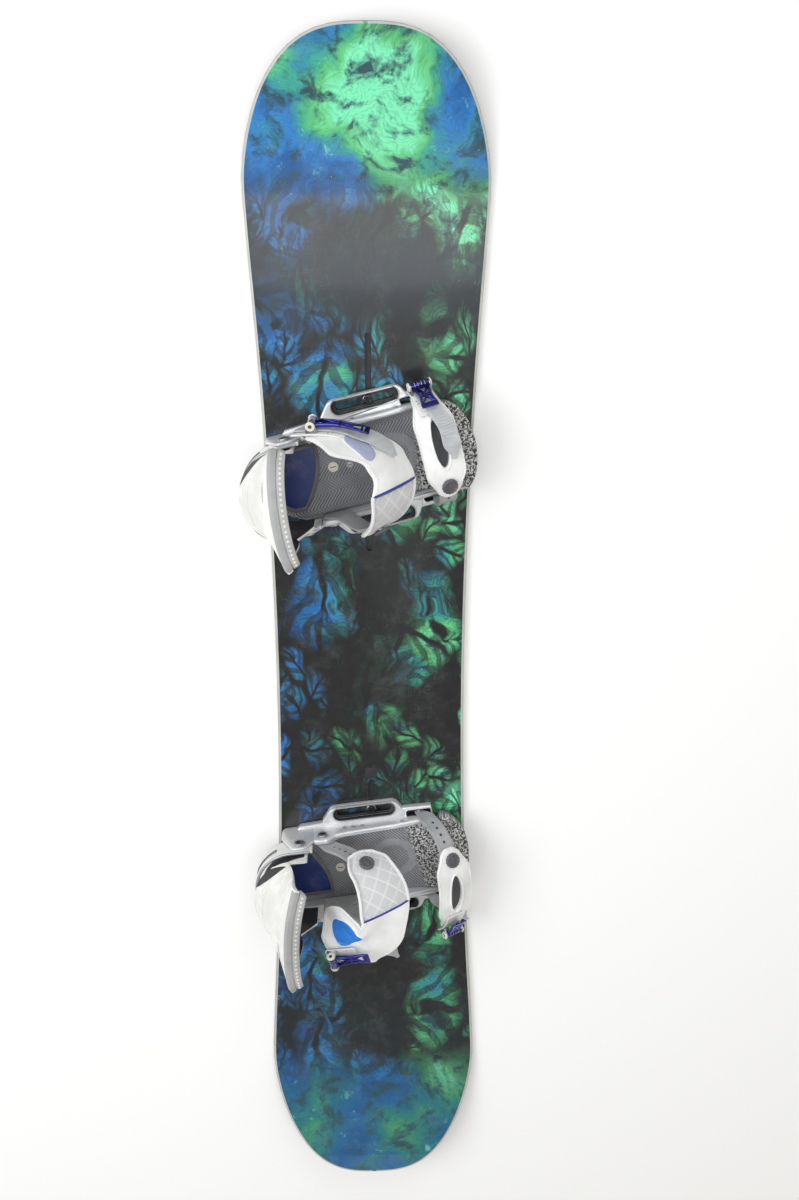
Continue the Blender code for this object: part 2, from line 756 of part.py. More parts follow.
def back_point(level, side, twist):
    """The middle of the highback's shell: level is the height behind, side runs from -1 to 1."""
    middle = stepped(
        (BACK_FOOT_Z, BACK_FOOT_X), (BACK_NECK_Z, BACK_FOOT_X), (BACK_HEEL_Z, BACK_HEEL_X),
        (BACK_TOP_Z, BACK_TOP_X),
    )
    half = table(
        (BACK_FOOT_Z, BACK_FOOT_HALF), (BACK_NECK_Z, BACK_FOOT_HALF), (BACK_HEEL_Z, BACK_HEEL_HALF),
        (BACK_TOP_Z, BACK_TOP_HALF),
    )
    depth = table(
        (BACK_NECK_Z, BACK_FOOT_DEPTH), (BACK_HEEL_Z, BACK_HEEL_DEPTH), (BACK_TOP_Z, BACK_TOP_DEPTH)
    )
    high = max(0.0, (level - BACK_HEEL_Z) / (BACK_TOP_Z - BACK_HEEL_Z))
    wide = math.radians(89 - 44 * soft_step(high))
    angle = side * wide
    y = half(level) * math.sin(angle) / math.sin(wide)
    x = middle(level) + depth(level) * (1 - math.cos(angle)) / (1 - math.cos(wide))
    x += y * math.sin(math.radians(twist)) * soft_step(high / 0.8)
    drop = 0.009 * abs(side) ** 5 * high ** 3
    foot = 0.004 * side * side * max(0.0, 1 - (level - BACK_FOOT_Z) / (BACK_NECK_Z - BACK_FOOT_Z))
    return Vector((x, y + BACK_SHIFT * high, level - drop - foot))


def back_place(level, side, depth, twist):
    """A point off the shell's middle, inward by a depth."""
    step = 0.0015
    up = back_point(level + step, side, twist) - back_point(level - step, side, twist)
    side_step = 0.01
    ahead = back_point(level, min(1, side + side_step), twist)
    behind = back_point(level, max(-1, side - side_step), twist)
    inward = (ahead - behind).cross(up).normalized()
    return back_point(level, side, twist) + inward * depth


def make_highback(label, root, twist):
    """The shell behind the leg, its pad, and the stop that sets its lean."""
    pivot = Vector((PIVOT_X, 0, PIVOT_Z))
    levels = [BACK_FOOT_Z, PIVOT_Z + 0.012, BACK_NECK_Z, (BACK_NECK_Z + BACK_HEEL_Z) / 2]
    for share in (0, 0.14, 0.30, 0.48, 0.66, 0.82, 0.93, 1):
        levels.append(BACK_HEEL_Z + (BACK_TOP_Z - BACK_HEEL_Z) * share)

    def shell_half(level):
        rim = soft_step((level - BACK_TOP_Z + 0.030) / 0.030)
        return (BACK_THICK + (BACK_RIM - BACK_THICK) * rim) / 2

    def place(p, q, outer):
        level = levels[round(q * (len(levels) - 1))]
        half = shell_half(level)
        return back_place(level, 2 * p - 1, -half if outer else half, twist)

    shell = bent_sheet(f"{label}_highback", 12, len(levels) - 1, place)
    bore = rod("bore", PIVOT_SHANK + PIN_GAP, -EAR_REACH, EAR_REACH, 12, along_y(PIVOT_X, PIVOT_Z))
    shell = cut(shell, bore)
    finish(shell, surface(shell.name, WHITE, 0.0, 0.25), root, pivot)

    pad_low = BACK_HEEL_Z + 0.14 * (BACK_TOP_Z - BACK_HEEL_Z)
    pad_levels = [level for level in levels if level >= pad_low - 0.0001]

    def pad_place(p, q, outer):
        level = pad_levels[round(q * (len(pad_levels) - 1))]
        side = (2 * p - 1) * 10 / 12
        near = shell_half(level) + PAD_GAP
        soft = PAD_THICK * (1 - 0.45 * abs(2 * p - 1) ** 4) * (1 - 0.4 * (1 - q) ** 4)
        return back_place(level, side, near if outer else near + soft, twist)

    pad = bent_sheet(f"{label}_highback_pad", 10, len(pad_levels) - 1, pad_place)
    finish(pad, surface(pad.name, GREY, 0.0, 0.8), root, pivot)

    low = HOOP_REAR_HIGH + GAP
    skin = BACK_FOOT_X - BACK_THICK / 2 - GAP
    rear = HOOP_TURN - HOOP_BOW
    high = low + LEAN_HIGH
    line = [(skin, low), (skin, high), (skin - 0.003, high), (rear, low + 0.005), (rear, low)]
    stop = side_plate(f"{label}_lean_stop", line, -LEAN_HALF, LEAN_HALF)
    finish(stop, surface(stop.name, GREY, 0.0, 0.4), root, Vector((skin, 0, low)))


def bed_top(x, y):
    """The footbed's upper surface."""
    ramp = BED_RAMP * soft_step((x - 0.050) / 0.072)
    nose = 0.010 * max(0.0, (x - 0.118) / (BED_TOE - 0.118)) ** 2
    cup = 0.0040 * soft_step((-0.060 - x) / 0.050) * min(1.0, abs(y) / RAIL_INNER) ** 3
    return FLOOR_TOP + GAP + BED_THICK + ramp - nose + cup


def make_footbed(label, root):
    """The cushioned sole with its toe ramp, and the heel pad on it."""
    bed_half = RAIL_INNER - 2 * GAP
    heel_turn = BED_HEEL + 0.046
    toe_turn = 0.104

    def half_at(x):
        if x < heel_turn:
            back = (heel_turn - x) / (heel_turn - BED_HEEL)
            return (bed_half - 0.001) * math.sqrt(max(0.0, 1 - back ** 2))
        if x < FLOOR_TOE + 0.001:
            return bed_half - 0.001 + 0.001 * soft_step((x - heel_turn) / 0.03)
        if x < toe_turn:
            return bed_half + (BED_TOE_HALF - bed_half) * soft_step((x - FLOOR_TOE - 0.001) / 0.009)
        return BED_TOE_HALF * math.sqrt(max(0.0, 1 - ((x - toe_turn) / (BED_TOE - toe_turn)) ** 2))

    heel = [heel_turn - (heel_turn - BED_HEEL) * math.sin(math.radians(85 * i / 6)) for i in range(6, 0, -1)]
    middle = [heel_turn + (FLOOR_TOE + 0.001 - heel_turn) * i / 12 for i in range(13)]
    flare = [FLOOR_TOE + 0.004, FLOOR_TOE + 0.007, toe_turn]
    toe = [toe_turn + (BED_TOE - toe_turn) * math.sin(math.radians(85 * i / 7)) for i in range(1, 8)]
    places = heel + middle + flare + toe

    def place(p, q, outer):
        x = places[round(q * (len(places) - 1))]
        shift = BED_TOE_SHIFT * soft_step((x - FLOOR_TOE - 0.001) / 0.010)
        y = (2 * p - 1) * half_at(x) + shift
        if outer:
            return Vector((x, y, bed_top(x, y)))
        under = 0.008 * soft_step((x - FLOOR_TOE - 0.001) / 0.030)
        return Vector((x, y, FLOOR_TOP + GAP + under))

    bed = bent_sheet(f"{label}_footbed", 6, len(places) - 1, place)
    finish(bed, surface(bed.name, GREY, 0.0, 0.7), root)

    def pad_place(p, q, outer):
        y = -0.036 + 0.074 * p
        rear = BED_HEEL + 0.008 + 0.030 * abs(y / 0.040) ** 2.6
        front = -0.078 + 0.42 * y + 0.009 * (1 - (y / 0.038) ** 2)
        x = rear + (front - rear) * q
        z = bed_top(x, y) + PAD_GAP
        if outer:
            z += HEEL_PAD_THICK * (1 - 0.35 * abs(2 * p - 1) ** 4 - 0.25 * abs(2 * q - 1) ** 4)
        return Vector((x, y, z))

    pad = bent_sheet(f"{label}_heel_pad", 8, 6, pad_place)
    finish(pad, surface(pad.name, NAVY, 0.0, 0.6), root)


def strap_band(name, path, first, last, drift, half, lift, thick, crown, rows, columns):
    """A band of strap along a path, thinner toward its edges by a crown."""

    def place(p, q, outer):
        s = first + (last - first) * q
        across = 2 * p - 1
        height = lift
        if outer:
            height += thick * (1 - crown * abs(across) ** 2.5)
        return path.point(s, drift(s) + half(s) * across, height)

    return bent_sheet(name, columns, rows, place)


def make_buckle(name, path, middle, drift, lift, lever_long, root, hinge, bent=True):
    """A ratchet buckle: a plate and cheeks on the strap, and a lever between the cheeks."""
    back = middle + PLATE_BACK
    front = middle - PLATE_FRONT
    half = LADDER_HALF + GAP + PIN_GAP + CHEEK_WIDE
    frame = path.frame(middle, drift, lift, True)
    if bent:
        along = frame.col[0].xyz
        step = 0.001
        centre = drift(middle)
        reach = path.point(middle, centre + step, lift) - path.point(middle, centre - step, lift)
        wide = (half + 0.001) * 2 * step / (reach - along * reach.dot(along)).length
        base = strap_band(
            f"{name}_buckle", path, front, back, drift, lambda s: wide, lift, PLATE_THICK, 0.0, 6, 1
        )
    else:
        corners = [(-PLATE_BACK, -half), (PLATE_FRONT, -half), (PLATE_FRONT, half), (-PLATE_BACK, half)]
        base = plate(f"{name}_buckle", corners, 0, PLATE_THICK)
        base.data.transform(frame)
    pin_high = PLATE_THICK + LADDER_GAP + LADDER_THICK + PIN_RADIUS + 0.0032
    cheek = [
        (-PIN_BACK - 0.007, 0.0007),
        (-PIN_BACK + 0.009, 0.0007),
        (-PIN_BACK + 0.005, pin_high + 0.0042),
        (-PIN_BACK - 0.004, pin_high + 0.0042),
    ]
    inner = half - CHEEK_WIDE
    for way in (1, -1):
        low, high = sorted((way * inner, way * (half - 0.0001)))
        wall = side_plate("cheek", rounded(cheek, 0.003), low, high)
        wall.data.transform(frame)
        base = join(base, wall)
    bore = rod("bore", PIN_RADIUS + PIN_GAP, -half - 0.002, half + 0.002, 14, along_y(-PIN_BACK, pin_high))
    bore.data.transform(frame)
    base = cut(base, bore)
    finish(base, surface(base.name, WHITE, 0.0, 0.3), root, hinge)

    under = []
    to_frame = frame.inverted()
    under_lift = lift + PLATE_THICK + LADDER_GAP + LADDER_THICK + LEVER_OVER
    for i in range(6):
        run = -PIN_BACK + 0.004 + (lever_long - 0.004) * i / 5
        clear = LEVER_CLEAR * (i / 5) ** 2
        spot = to_frame @ path.point(middle - run, drift(middle - run), under_lift + clear)
        under.append((spot.x, spot.z))
    over = []
    for i, (x, z) in enumerate(reversed(under)):
        share = i / 5
        over.append((x - 0.0004 * i, z + LEVER_THICK * (0.55 + 0.75 * soft_step(share))))
    line = under + over
    nose = []
    for i in range(7):
        angle = math.radians(60 + 40 * i)
        nose.append((-PIN_BACK + 0.0042 * math.cos(angle), pin_high + 0.0042 * math.sin(angle)))
    lever = side_plate(f"{name}_lever", line + nose, -inner + PIN_GAP, inner - PIN_GAP)
    pin = rod("pin", PIN_RADIUS, -half + 0.0001, half - 0.0001, 14, along_y(-PIN_BACK, pin_high))
    lever = join(lever, pin)
    to_pin = Matrix.Translation((-PIN_BACK, 0, pin_high))
    lever.data.transform(to_pin.inverted())
    finish(lever, surface(lever.name, BLUE, 0.4, 0.25), root)
    lever.matrix_local = frame @ to_pin


def make_knob(name, path, at, drift, low, high, pieces, root):
    """A round clamp that goes through the strap into its slider: returns the pieces with its hole."""
    frame = path.frame(at, drift, 0.0, False)
    holed = []
    for solid in pieces:
        hole = rod("hole", KNOB_STEM + PIN_GAP, -0.004, high + 0.008, 14, frame)
        holed.append(cut(solid, hole))
    profile = [
        (0, high + KNOB_HIGH),
        (KNOB_RADIUS - 0.0018, high + KNOB_HIGH),
        (KNOB_RADIUS, high + KNOB_HIGH - 0.0014),
        (KNOB_RADIUS, high),
        (KNOB_STEM, high),
        (KNOB_STEM, low),
        (0, low),
    ]
    knob = turned(f"{name}_knob", profile, 16, Matrix())
    finish(knob, surface(knob.name, GREY, 0.0, 0.4), root)
    knob.matrix_local = frame
    return holed


def make_ladder(name, path, sway, half, rows, root, hinge, eye=None, stud=None):
    """A toothed strip, with an eye for a bolt or a stud of its own."""
    ladder = strap_band(name, path, 0, path.total, sway, half, 0, LADDER_THICK, 0.0, rows, 1)
    if eye:
        ladder = cut(ladder, eye)
    if stud:
        ladder = join(ladder, stud)
    return finish(ladder, surface(name, CLEAR_GREY, 0.0, 0.35), root, hinge)


def make_ankle(label, root, closed):
    """The ankle strap: slider, pad, knob, buckle, lever and ladder."""
    tab = RAIL_INNER - GAP - SLIDER_THICK
    hinge = Vector((ANKLE_X, 0, ANKLE_Z))
    side = ANKLE_SIDE
    high = ANKLE_HIGH
    start = [(-tab, -0.010), (-tab, 0.0), (-tab, 0.022)]
    if closed:
        over = [(-side, 0.052), (-0.055, 0.083), (-0.031, high - 0.007), (0, high), (0.031, high - 0.007)]
        end = [(0.055, 0.084), (side, 0.056), (side + 0.001, 0.036), (side, 0.020)]
    else:
        over = [(-0.050, 0.050, 0.004), (-0.043, 0.086, 0.008), (-0.018, high - 0.002, 0.010)]
        over += [(0.012, high + 0.006, 0.006), (0.042, high + 0.003, 0.0)]
        end = [(0.068, 0.106, -0.008), (0.090, 0.088, -0.014), (0.102, 0.060, -0.016)]
    tilt = ANKLE_TILT if closed else ANKLE_OPEN_TILT
    path = Path(hinge, tilt, start + over + end, 1)
    pad_from = path.falls_to(ANKLE_END_RISE) - ANKLE_LENGTH if closed else ANKLE_OPEN_FROM
    pad_to = pad_from + ANKLE_LENGTH
    if not closed:
        path.roll = table((pad_from + 0.080, 0.0), (pad_from + 0.150, math.radians(ANKLE_OPEN_ROLL)))
        path.lean = table((pad_from + 0.090, 0.0), (pad_from + 0.150, ANKLE_OPEN_LEAN))

    slide_half = table((0, 0.0035), (0.005, 0.0095), (0.012, 0.0112), (0.034, SLIDER_HALF))
    slide_to = pad_from + 0.040
    slider = strap_band(
        f"{label}_ankle_slider", path, 0, slide_to, level_line, slide_half, 0, SLIDER_THICK, 0.0, 14, 1
    )
    eye = rod("eye", ANKLE_BOLT_SHANK + PIN_GAP, -RAIL_OUTER, -0.030, 12, along_y(ANKLE_X, ANKLE_Z))
    slider = cut(slider, eye)

    def heel_edge(s):
        x = s - pad_from
        body = ((0, -0.009), (0.006, -0.018), (0.022, -0.028), (0.075, -ANKLE_HALF), (0.098, -0.029))
        arm = ((0.114, -0.033), (0.146, -ARM_HALF - 0.037))
        tip = ((ANKLE_LENGTH - 0.016, -0.066), (ANKLE_LENGTH, -0.054))
        return table(*body, *arm, *tip)(x)

    def toe_edge(s):
        x = s - pad_from
        body = ((0, 0.015), (0.006, 0.024), (0.022, 0.033), (0.084, ANKLE_HALF), (0.112, ANKLE_HALF - 0.006))
        arm = ((0.150, ARM_HALF - 0.021), (ANKLE_LENGTH - 0.016, -0.012), (ANKLE_LENGTH, -0.026))
        return table(*body, *arm)(x)

    def drift(s):
        return (heel_edge(s) + toe_edge(s)) / 2

    def half(s):
        return (toe_edge(s) - heel_edge(s)) / 2

    lift = SLIDER_THICK + GAP
    strap = strap_band(
        f"{label}_ankle_strap", path, pad_from, pad_to, drift, half, lift, ANKLE_THICK, 0.45, 24, 6
    )
    skin = lift + ANKLE_THICK + GAP
    strap, slider = make_knob(
        f"{label}_ankle", path, pad_from + 0.020, level_line, 0.0003, skin, (strap, slider), root
    )
    finish(strap, surface(strap.name, WHITE, 0.0, 0.5), root, hinge)
    finish(slider, surface(slider.name, CLEAR_GREY, 0.0, 0.4), root, hinge)

    buckle_at = pad_to - 0.018
    lead = table((buckle_at - 0.075, 0.012), (buckle_at + 0.030, -0.060))
    if closed:
        make_buckle(f"{label}_ankle", path, buckle_at, lead, skin, LEVER_LONG, root, hinge)
    else:
        raised = skin + FLAT_LIFT
        make_buckle(f"{label}_ankle", path, buckle_at, lead, raised, LEVER_LONG, root, hinge, False)

    ladder_lift = skin + PLATE_THICK + LADDER_GAP
    foot = [(tab, -0.010), (tab, 0.0)]
    if closed:
        foot += [(tab, 0.014, -0.006), (0.057, 0.0225, -0.016), (0.070, 0.036, -0.040)]
        runs = [0.018, 0.012, 0.004, -0.004, -0.012, -0.020, -0.028, -0.036, -0.046, -0.056, -0.066]
        for run in runs:
            spot = path.lifted(buckle_at + run, ladder_lift)
            foot.append((spot.x, spot.y, lead(buckle_at + run)))
    else:
        foot += [(tab, 0.018, 0.004), (0.060, 0.034, 0.012)]
        foot += [(0.088, 0.042, 0.026), (0.122, 0.046, 0.042), (0.150, 0.054, 0.058)]
    ladder_path = Path(hinge, ANKLE_TILT, foot, -1)
    end = ladder_path.total
    ladder_half = table(
        (0, 0.0035), (0.005, 0.0085), (0.012, LADDER_HALF), (end - 0.068, LADDER_HALF),
        (end - 0.044, LEAF_HALF), (end - 0.020, LEAF_HALF - 0.003), (end, 0.003),
    )
    eye = rod("eye", ANKLE_BOLT_SHANK + PIN_GAP, 0.030, RAIL_OUTER, 12, along_y(ANKLE_X, ANKLE_Z))
    make_ladder(f"{label}_ankle_ladder", ladder_path, level_line, ladder_half, 26, root, hinge, eye=eye)


def make_toe(label, root, closed):
    """The toe strap with its window: slider, pad, knob, buckle, lever and ladder."""
    tab = RAIL_OUTER + 0.0022
    hinge = Vector((TOE_X, 0, TOE_Z))
    side = TOE_SIDE
    high = TOE_HIGH
    start = [(-tab, -0.006), (-tab, 0.0), (-tab, 0.010)]
    tilt = TOE_TILT if closed else TOE_OPEN_TILT
    if closed:
        over = [(-side, 0.027), (-0.060, 0.047), (-0.037, high - 0.005), (0, high), (0.037, high - 0.005)]
        end = [(0.060, 0.048), (side, 0.030), (side, 0.018)]
    else:
        over = [(-0.060, 0.028), (-0.052, 0.048), (-0.026, high - 0.002), (0.012, high + 0.004)]
        end = [(0.048, high - 0.002), (0.074, 0.054), (0.090, 0.038), (0.098, 0.020)]
    path = Path(hinge, tilt, start + over + end, 1)
    pad_from = path.falls_to(TOE_END_RISE) - TOE_LENGTH if closed else TOE_OPEN_FROM
    pad_to = pad_from + TOE_LENGTH

    slide_half = table((0, 0.0030), (0.003, 0.0052), (0.010, 0.0068), (0.026, SLIDER_HALF - 0.001))
    slider = strap_band(
        f"{label}_toe_slider", path, 0, pad_from + 0.034, level_line, slide_half, 0, SLIDER_THICK, 0.0, 12, 1
    )
    reach = RAIL_OUTER + TOE_SLOT_WIDTH + 0.004
    stud = rod("stud", TOE_STUD, -reach, -RAIL_OUTER + 0.004, 12, along_y(TOE_X, TOE_Z))
    slider = join(slider, stud)

    def half(s):
        x = s - pad_from
        stops = ((0, 0.011), (0.008, 0.017), (0.030, TOE_HALF), (0.090, TOE_HALF))
        return table(*stops, (TOE_LENGTH - 0.020, 0.0165), (TOE_LENGTH, 0.009))(x)

    lift = SLIDER_THICK + GAP
    strap = strap_band(
        f"{label}_toe_strap", path, pad_from, pad_to, level_line, half, lift, TOE_THICK, 0.35, 18, 4
    )
    window_at = pad_from + TOE_WINDOW_FROM
    window = turned("window", [(0, 0.04), (1, 0.04), (1, -0.02), (0, -0.02)], 16, Matrix())
    frame = path.frame(window_at, level_line, 0.0, False)
    window.data.transform(frame @ Matrix.Diagonal((TOE_WINDOW_LONG, TOE_WINDOW_HIGH, 1, 1)))
    strap = cut(strap, window)
    skin = lift + TOE_THICK + GAP
    strap, slider = make_knob(
        f"{label}_toe", path, pad_from + 0.016, level_line, 0.0003, skin, (strap, slider), root
    )
    finish(strap, surface(strap.name, WHITE, 0.0, 0.4), root, hinge)
    finish(slider, surface(slider.name, CLEAR_GREY, 0.0, 0.4), root, hinge)

    buckle_at = pad_to - 0.018
    make_buckle(f"{label}_toe", path, buckle_at, level_line, skin, LEVER_SHORT, root, hinge)

    ladder_lift = skin + PLATE_THICK + LADDER_GAP
    foot = [(tab, -0.006), (tab, 0.0), (tab, 0.008)]
    if closed:
        foot += [(0.070, 0.0135)]
        runs = [0.020, 0.014, 0.007, 0.0, -0.007, -0.014, -0.022, -0.030, -0.042, -0.054, -0.066, -0.078]
        for run in runs:
            spot = path.lifted(buckle_at + run, ladder_lift)
            foot.append((spot.x, spot.y, 0.013 * soft_step(-run / 0.050)))
    else:
        foot += [(0.070, 0.018, 0.006), (0.084, 0.026, 0.020), (0.103, 0.034, 0.042)]
    ladder_path = Path(hinge, TOE_TILT, foot, -1)
    end = ladder_path.total
    ladder_half = table(
        (0, 0.0030), (0.003, 0.0052), (0.016, 0.0066), (0.034, LADDER_HALF), (end - 0.036, LADDER_HALF),
        (end - 0.020, LADDER_HALF + 0.001), (end, 0.003),
    )
    stud = rod("stud", TOE_STUD, RAIL_OUTER - 0.004, reach, 12, along_y(TOE_X, TOE_Z))
    make_ladder(f"{label}_toe_ladder", ladder_path, level_line, ladder_half, 22, root, hinge, stud=stud)


def make_bolts(label, kind, x, z, inner, shank, head, root):
    """A pair of bolts through the rails, heads outside."""
    outer = RAIL_OUTER + GAP
    profile = [
        (0, outer + 0.0028),
        (head - 0.001, outer + 0.0028),
        (head, outer + 0.0018),
        (head, outer),
        (shank, outer),
        (shank, inner),
        (0, inner),
    ]
    for name, way in (("outer", 1), ("inner", -1)):
        frame = Matrix.Translation((x, 0, z)) @ Matrix.Rotation(-way * math.pi / 2, 4, "X")
        bolt = turned(f"{label}_{kind}_bolt_{name}", profile, 16, frame)
        finish(bolt, surface(bolt.name, SILVER, 1.0, 0.35), root)


def make_binding(label, at, angle, twist, side, closed):
    """One binding about its own middle, mirrored for the other foot."""
    root = bpy.data.objects.new(f"{label}_binding", None)
    ROOM.objects.link(root)
    root.location = (0, at, BOARD_TOP)
    root.rotation_euler = (0, 0, math.radians(angle))
    root.scale = (1, side, 1)
    make_base(label, root)
    make_hoop(label, root)
    make_highback(label, root, twist)
    make_footbed(label, root)
    make_ankle(label, root, closed)
    make_toe(label, root, closed)
    wing = BACK_FOOT_HALF - BACK_THICK / 2
    make_bolts(label, "pivot", PIVOT_X, PIVOT_Z, wing, PIVOT_SHANK, PIVOT_HEAD, root)
    tab = RAIL_INNER - GAP - SLIDER_THICK
    make_bolts(label, "ankle", ANKLE_X, ANKLE_Z, tab, ANKLE_BOLT_SHANK, ANKLE_BOLT_HEAD, root)
    make_mounts(label, at, angle)


def main():
    global ROOM
    for old in list(bpy.data.objects):
        bpy.data.objects.remove(old)
    ROOM = bpy.data.collections.new("snowboard_with_bindings")
    bpy.context.scene.collection.children.link(ROOM)
    make_board()
    make_binding("front", FRONT_AT, FRONT_ANGLE, FRONT_TWIST, 1, True)
    make_binding("rear", REAR_AT, REAR_ANGLE, REAR_TWIST, -1, False)


main()
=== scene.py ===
"""The looks of a snowboard with two strap bindings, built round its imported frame.

Lengths are metres. Inside a binding, x runs from heel to toe, y to the outer side of the foot and z up from
the topsheet. The front binding has its straps closed, and the rear one has them let out.
"""

import bisect
import math

import bmesh
import bpy
from mathutils import Matrix, Vector
from mathutils.geometry import tessellate_polygon


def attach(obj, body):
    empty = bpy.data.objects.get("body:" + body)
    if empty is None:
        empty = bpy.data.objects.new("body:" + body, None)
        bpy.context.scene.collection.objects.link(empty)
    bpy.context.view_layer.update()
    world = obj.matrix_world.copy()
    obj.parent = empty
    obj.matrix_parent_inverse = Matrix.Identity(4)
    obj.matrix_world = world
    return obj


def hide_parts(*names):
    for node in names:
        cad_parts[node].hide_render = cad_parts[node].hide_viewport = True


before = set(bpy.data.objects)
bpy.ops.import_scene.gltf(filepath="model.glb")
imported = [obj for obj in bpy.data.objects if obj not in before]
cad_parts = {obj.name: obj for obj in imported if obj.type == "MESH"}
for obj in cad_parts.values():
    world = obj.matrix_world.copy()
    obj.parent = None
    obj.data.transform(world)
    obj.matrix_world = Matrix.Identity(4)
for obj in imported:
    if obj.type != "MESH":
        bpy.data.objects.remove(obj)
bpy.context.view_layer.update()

GAP = 0.0003
PIN_GAP = 0.0004

# Board
BOARD_LENGTH = 1.580
HALF_BOARD = BOARD_LENGTH / 2
WIDEST = 0.300
WAIST = 0.252
WIDEST_AT = 0.600
SHOULDER_BLEND = 0.006
TIP_POWER = 1.933
TIP_ROUND = 2.797
TIP_RISE = 0.056
TIP_START = 0.580
CORE_LOW = 0.0021
CORE_THICK = 0.0060
CORE_TIP_SHARE = 0.60
CORE_THIN_FROM = 0.470
TOP_THICK = 0.0008
TOP_INSET = 0.0012
BOARD_TOP = 0.0092
BEVEL_WIDE = 0.0026  # of the side wall that shows from above
CHANNEL_INNER = 0.164
CHANNEL_LENGTH = 0.280
SLOT_WIDTH = 0.0076
PLUG_AT = -0.154

# Base of a binding
FLOOR_TOP = 0.0050
FLOOR_HEEL = -0.118
FLOOR_TOE = 0.094
RAIL_INNER = 0.0520
RAIL_OUTER = 0.0600
RAIL_REAR = -0.074
EAR_TOP = 0.0125
EAR_REACH = 0.0865
EAR_SLOT_AT = 0.0760
EAR_SLOT_LENGTH = 0.076
EAR_SLOT_WIDTH = 0.0096
RECESS_WIDTH = 0.0168
RECESS_DEPTH = 0.0062
CHEEK_REAR = -0.118
CHEEK_TOP = 0.063
TOE_SLOT_WIDTH = 0.0075
TOE_SLOT_REACH = 0.016
SCREW_HEAD = 0.0062
SCREW_HEAD_HIGH = 0.0040
SCREW_WASHER = 0.0066
SCREW_SHANK = 0.0029
SCREW_FOOT = 0.0045
BOLT_SHANK = 0.0035
HEX_SOCKET = 0.0026

# Heel hoop and highback
HOOP_THICK = 0.0040
HOOP_TURN = -0.104
HOOP_BOW = 0.054
HOOP_LOW = 0.028
HOOP_HIGH = 0.066
HOOP_REAR_LOW = 0.034
HOOP_REAR_HIGH = 0.063
PIVOT_X = -0.092
PIVOT_Z = 0.052
BACK_THICK = 0.0042
BACK_RIM = 0.0064
BACK_FOOT_X = -0.1495
BACK_FOOT_Z = 0.046
BACK_NECK_Z = 0.080
BACK_HEEL_X = -0.1570
BACK_HEEL_Z = 0.094
BACK_TOP_X = -0.1085
BACK_TOP_Z = 0.193
BACK_FOOT_HALF = 0.0489
BACK_HEEL_HALF = 0.0560
BACK_TOP_HALF = 0.0735
BACK_FOOT_DEPTH = 0.068
BACK_HEEL_DEPTH = 0.052
BACK_TOP_DEPTH = 0.009
BACK_SHIFT = 0.006
PAD_THICK = 0.0085
PAD_GAP = 0.0007
LEAN_HALF = 0.0115
LEAN_HIGH = 0.0090
FLANK_SHADE_TOP = 0.0735  # of the black strip low on the shell: painted shade of the gap between hoop and shell

# Footbed
BED_HEEL = -0.136
BED_TOE = 0.1365
BED_THICK = 0.0085
BED_TOE_HALF = 0.0585
BED_RAMP = 0.0165
BED_TOE_SHIFT = -0.004
HEEL_PAD_THICK = 0.0036
RIB_HIGH = 0.0008

# Straps
CROWN_POWER = 2.5  # how late a strap falls toward its edges
ANKLE_X = -0.060
ANKLE_Z = 0.036
ANKLE_TILT = 46.0
ANKLE_OPEN_TILT = 34.0
ANKLE_OPEN_ROLL = 35.0
ANKLE_OPEN_LEAN = 0.70
ANKLE_OPEN_FROM = 0.080
ANKLE_SIDE = 0.0635
ANKLE_HIGH = 0.114
ANKLE_END_RISE = 0.050
ANKLE_LENGTH = 0.196
ANKLE_HALF = 0.0385
ARM_HALF = 0.0310
ANKLE_THICK = 0.0072
QUILT_LONG = 0.081
TOE_X = 0.074
TOE_Z = 0.0075
TOE_TILT = 14.0
TOE_OPEN_TILT = 29.0
TOE_SIDE = 0.0665
TOE_HIGH = 0.068
TOE_OPEN_FROM = 0.080
TOE_END_RISE = 0.026
TOE_LENGTH = 0.142
TOE_HALF = 0.0260
TOE_THICK = 0.0060
TOE_STUD = 0.0026
TOE_WINDOW_FROM = 0.066
TOE_WINDOW_LONG = 0.028
TOE_WINDOW_HIGH = 0.0090

# Sliders, ladders, buckles and knobs
SLIDER_THICK = 0.0030
SLIDER_HALF = 0.0125
LADDER_THICK = 0.0025
LADDER_HALF = 0.0105
LEAF_HALF = 0.0150
TOOTH_PITCH = 0.0036
KNOB_RADIUS = 0.0105
KNOB_HIGH = 0.0042
KNOB_FLUTES = 14
PLATE_THICK = 0.0022
PLATE_BACK = 0.017
PLATE_FRONT = 0.024
CHEEK_WIDE = 0.0024
PIN_BACK = 0.0080
PIN_RADIUS = 0.0021
HUB_RADIUS = 0.0042
LEVER_THICK = 0.0040
LEVER_OVER = 0.0020
LEVER_CLEAR = 0.0035
LADDER_GAP = 0.0008
FLAT_LIFT = 0.0015
LEVER_LONG = 0.044
LEVER_SHORT = 0.027

# Turned profiles, as radius and height
RAIL_POST = ((0.0034, -0.001), (0.0034, 0.0004), (0.0026, 0.0009), (0.0018, 0.0003), (0.0, 0.0003))
HOOP_RIVET = ((0.0033, -0.001), (0.0033, 0.0005), (0.0024, 0.0010), (0.0016, 0.0004), (0.0, 0.0004))
RIM_STUD = ((0.0018, -0.0006), (0.0018, 0.0002), (0.0013, 0.0006), (0.0006, 0.0008), (0.0, 0.0009))

# Stage
STAGE_HALF = 9.0
CAMERA_AT = (-0.00216, 0.62732, 1.58798)
CAMERA_WAY = (0.024754, -0.318367, -0.947644)
FOCAL_PIXELS = 1264.65
FRAME_PIXELS = 1200.0
SENSOR = 36.0
FILL_STEPS = 16  # of the cloth that swells the pads


def soft_step(t):
    """0 to 1 with a level start and end."""
    t = min(1.0, max(0.0, t))
    return t * t * (3 - 2 * t)


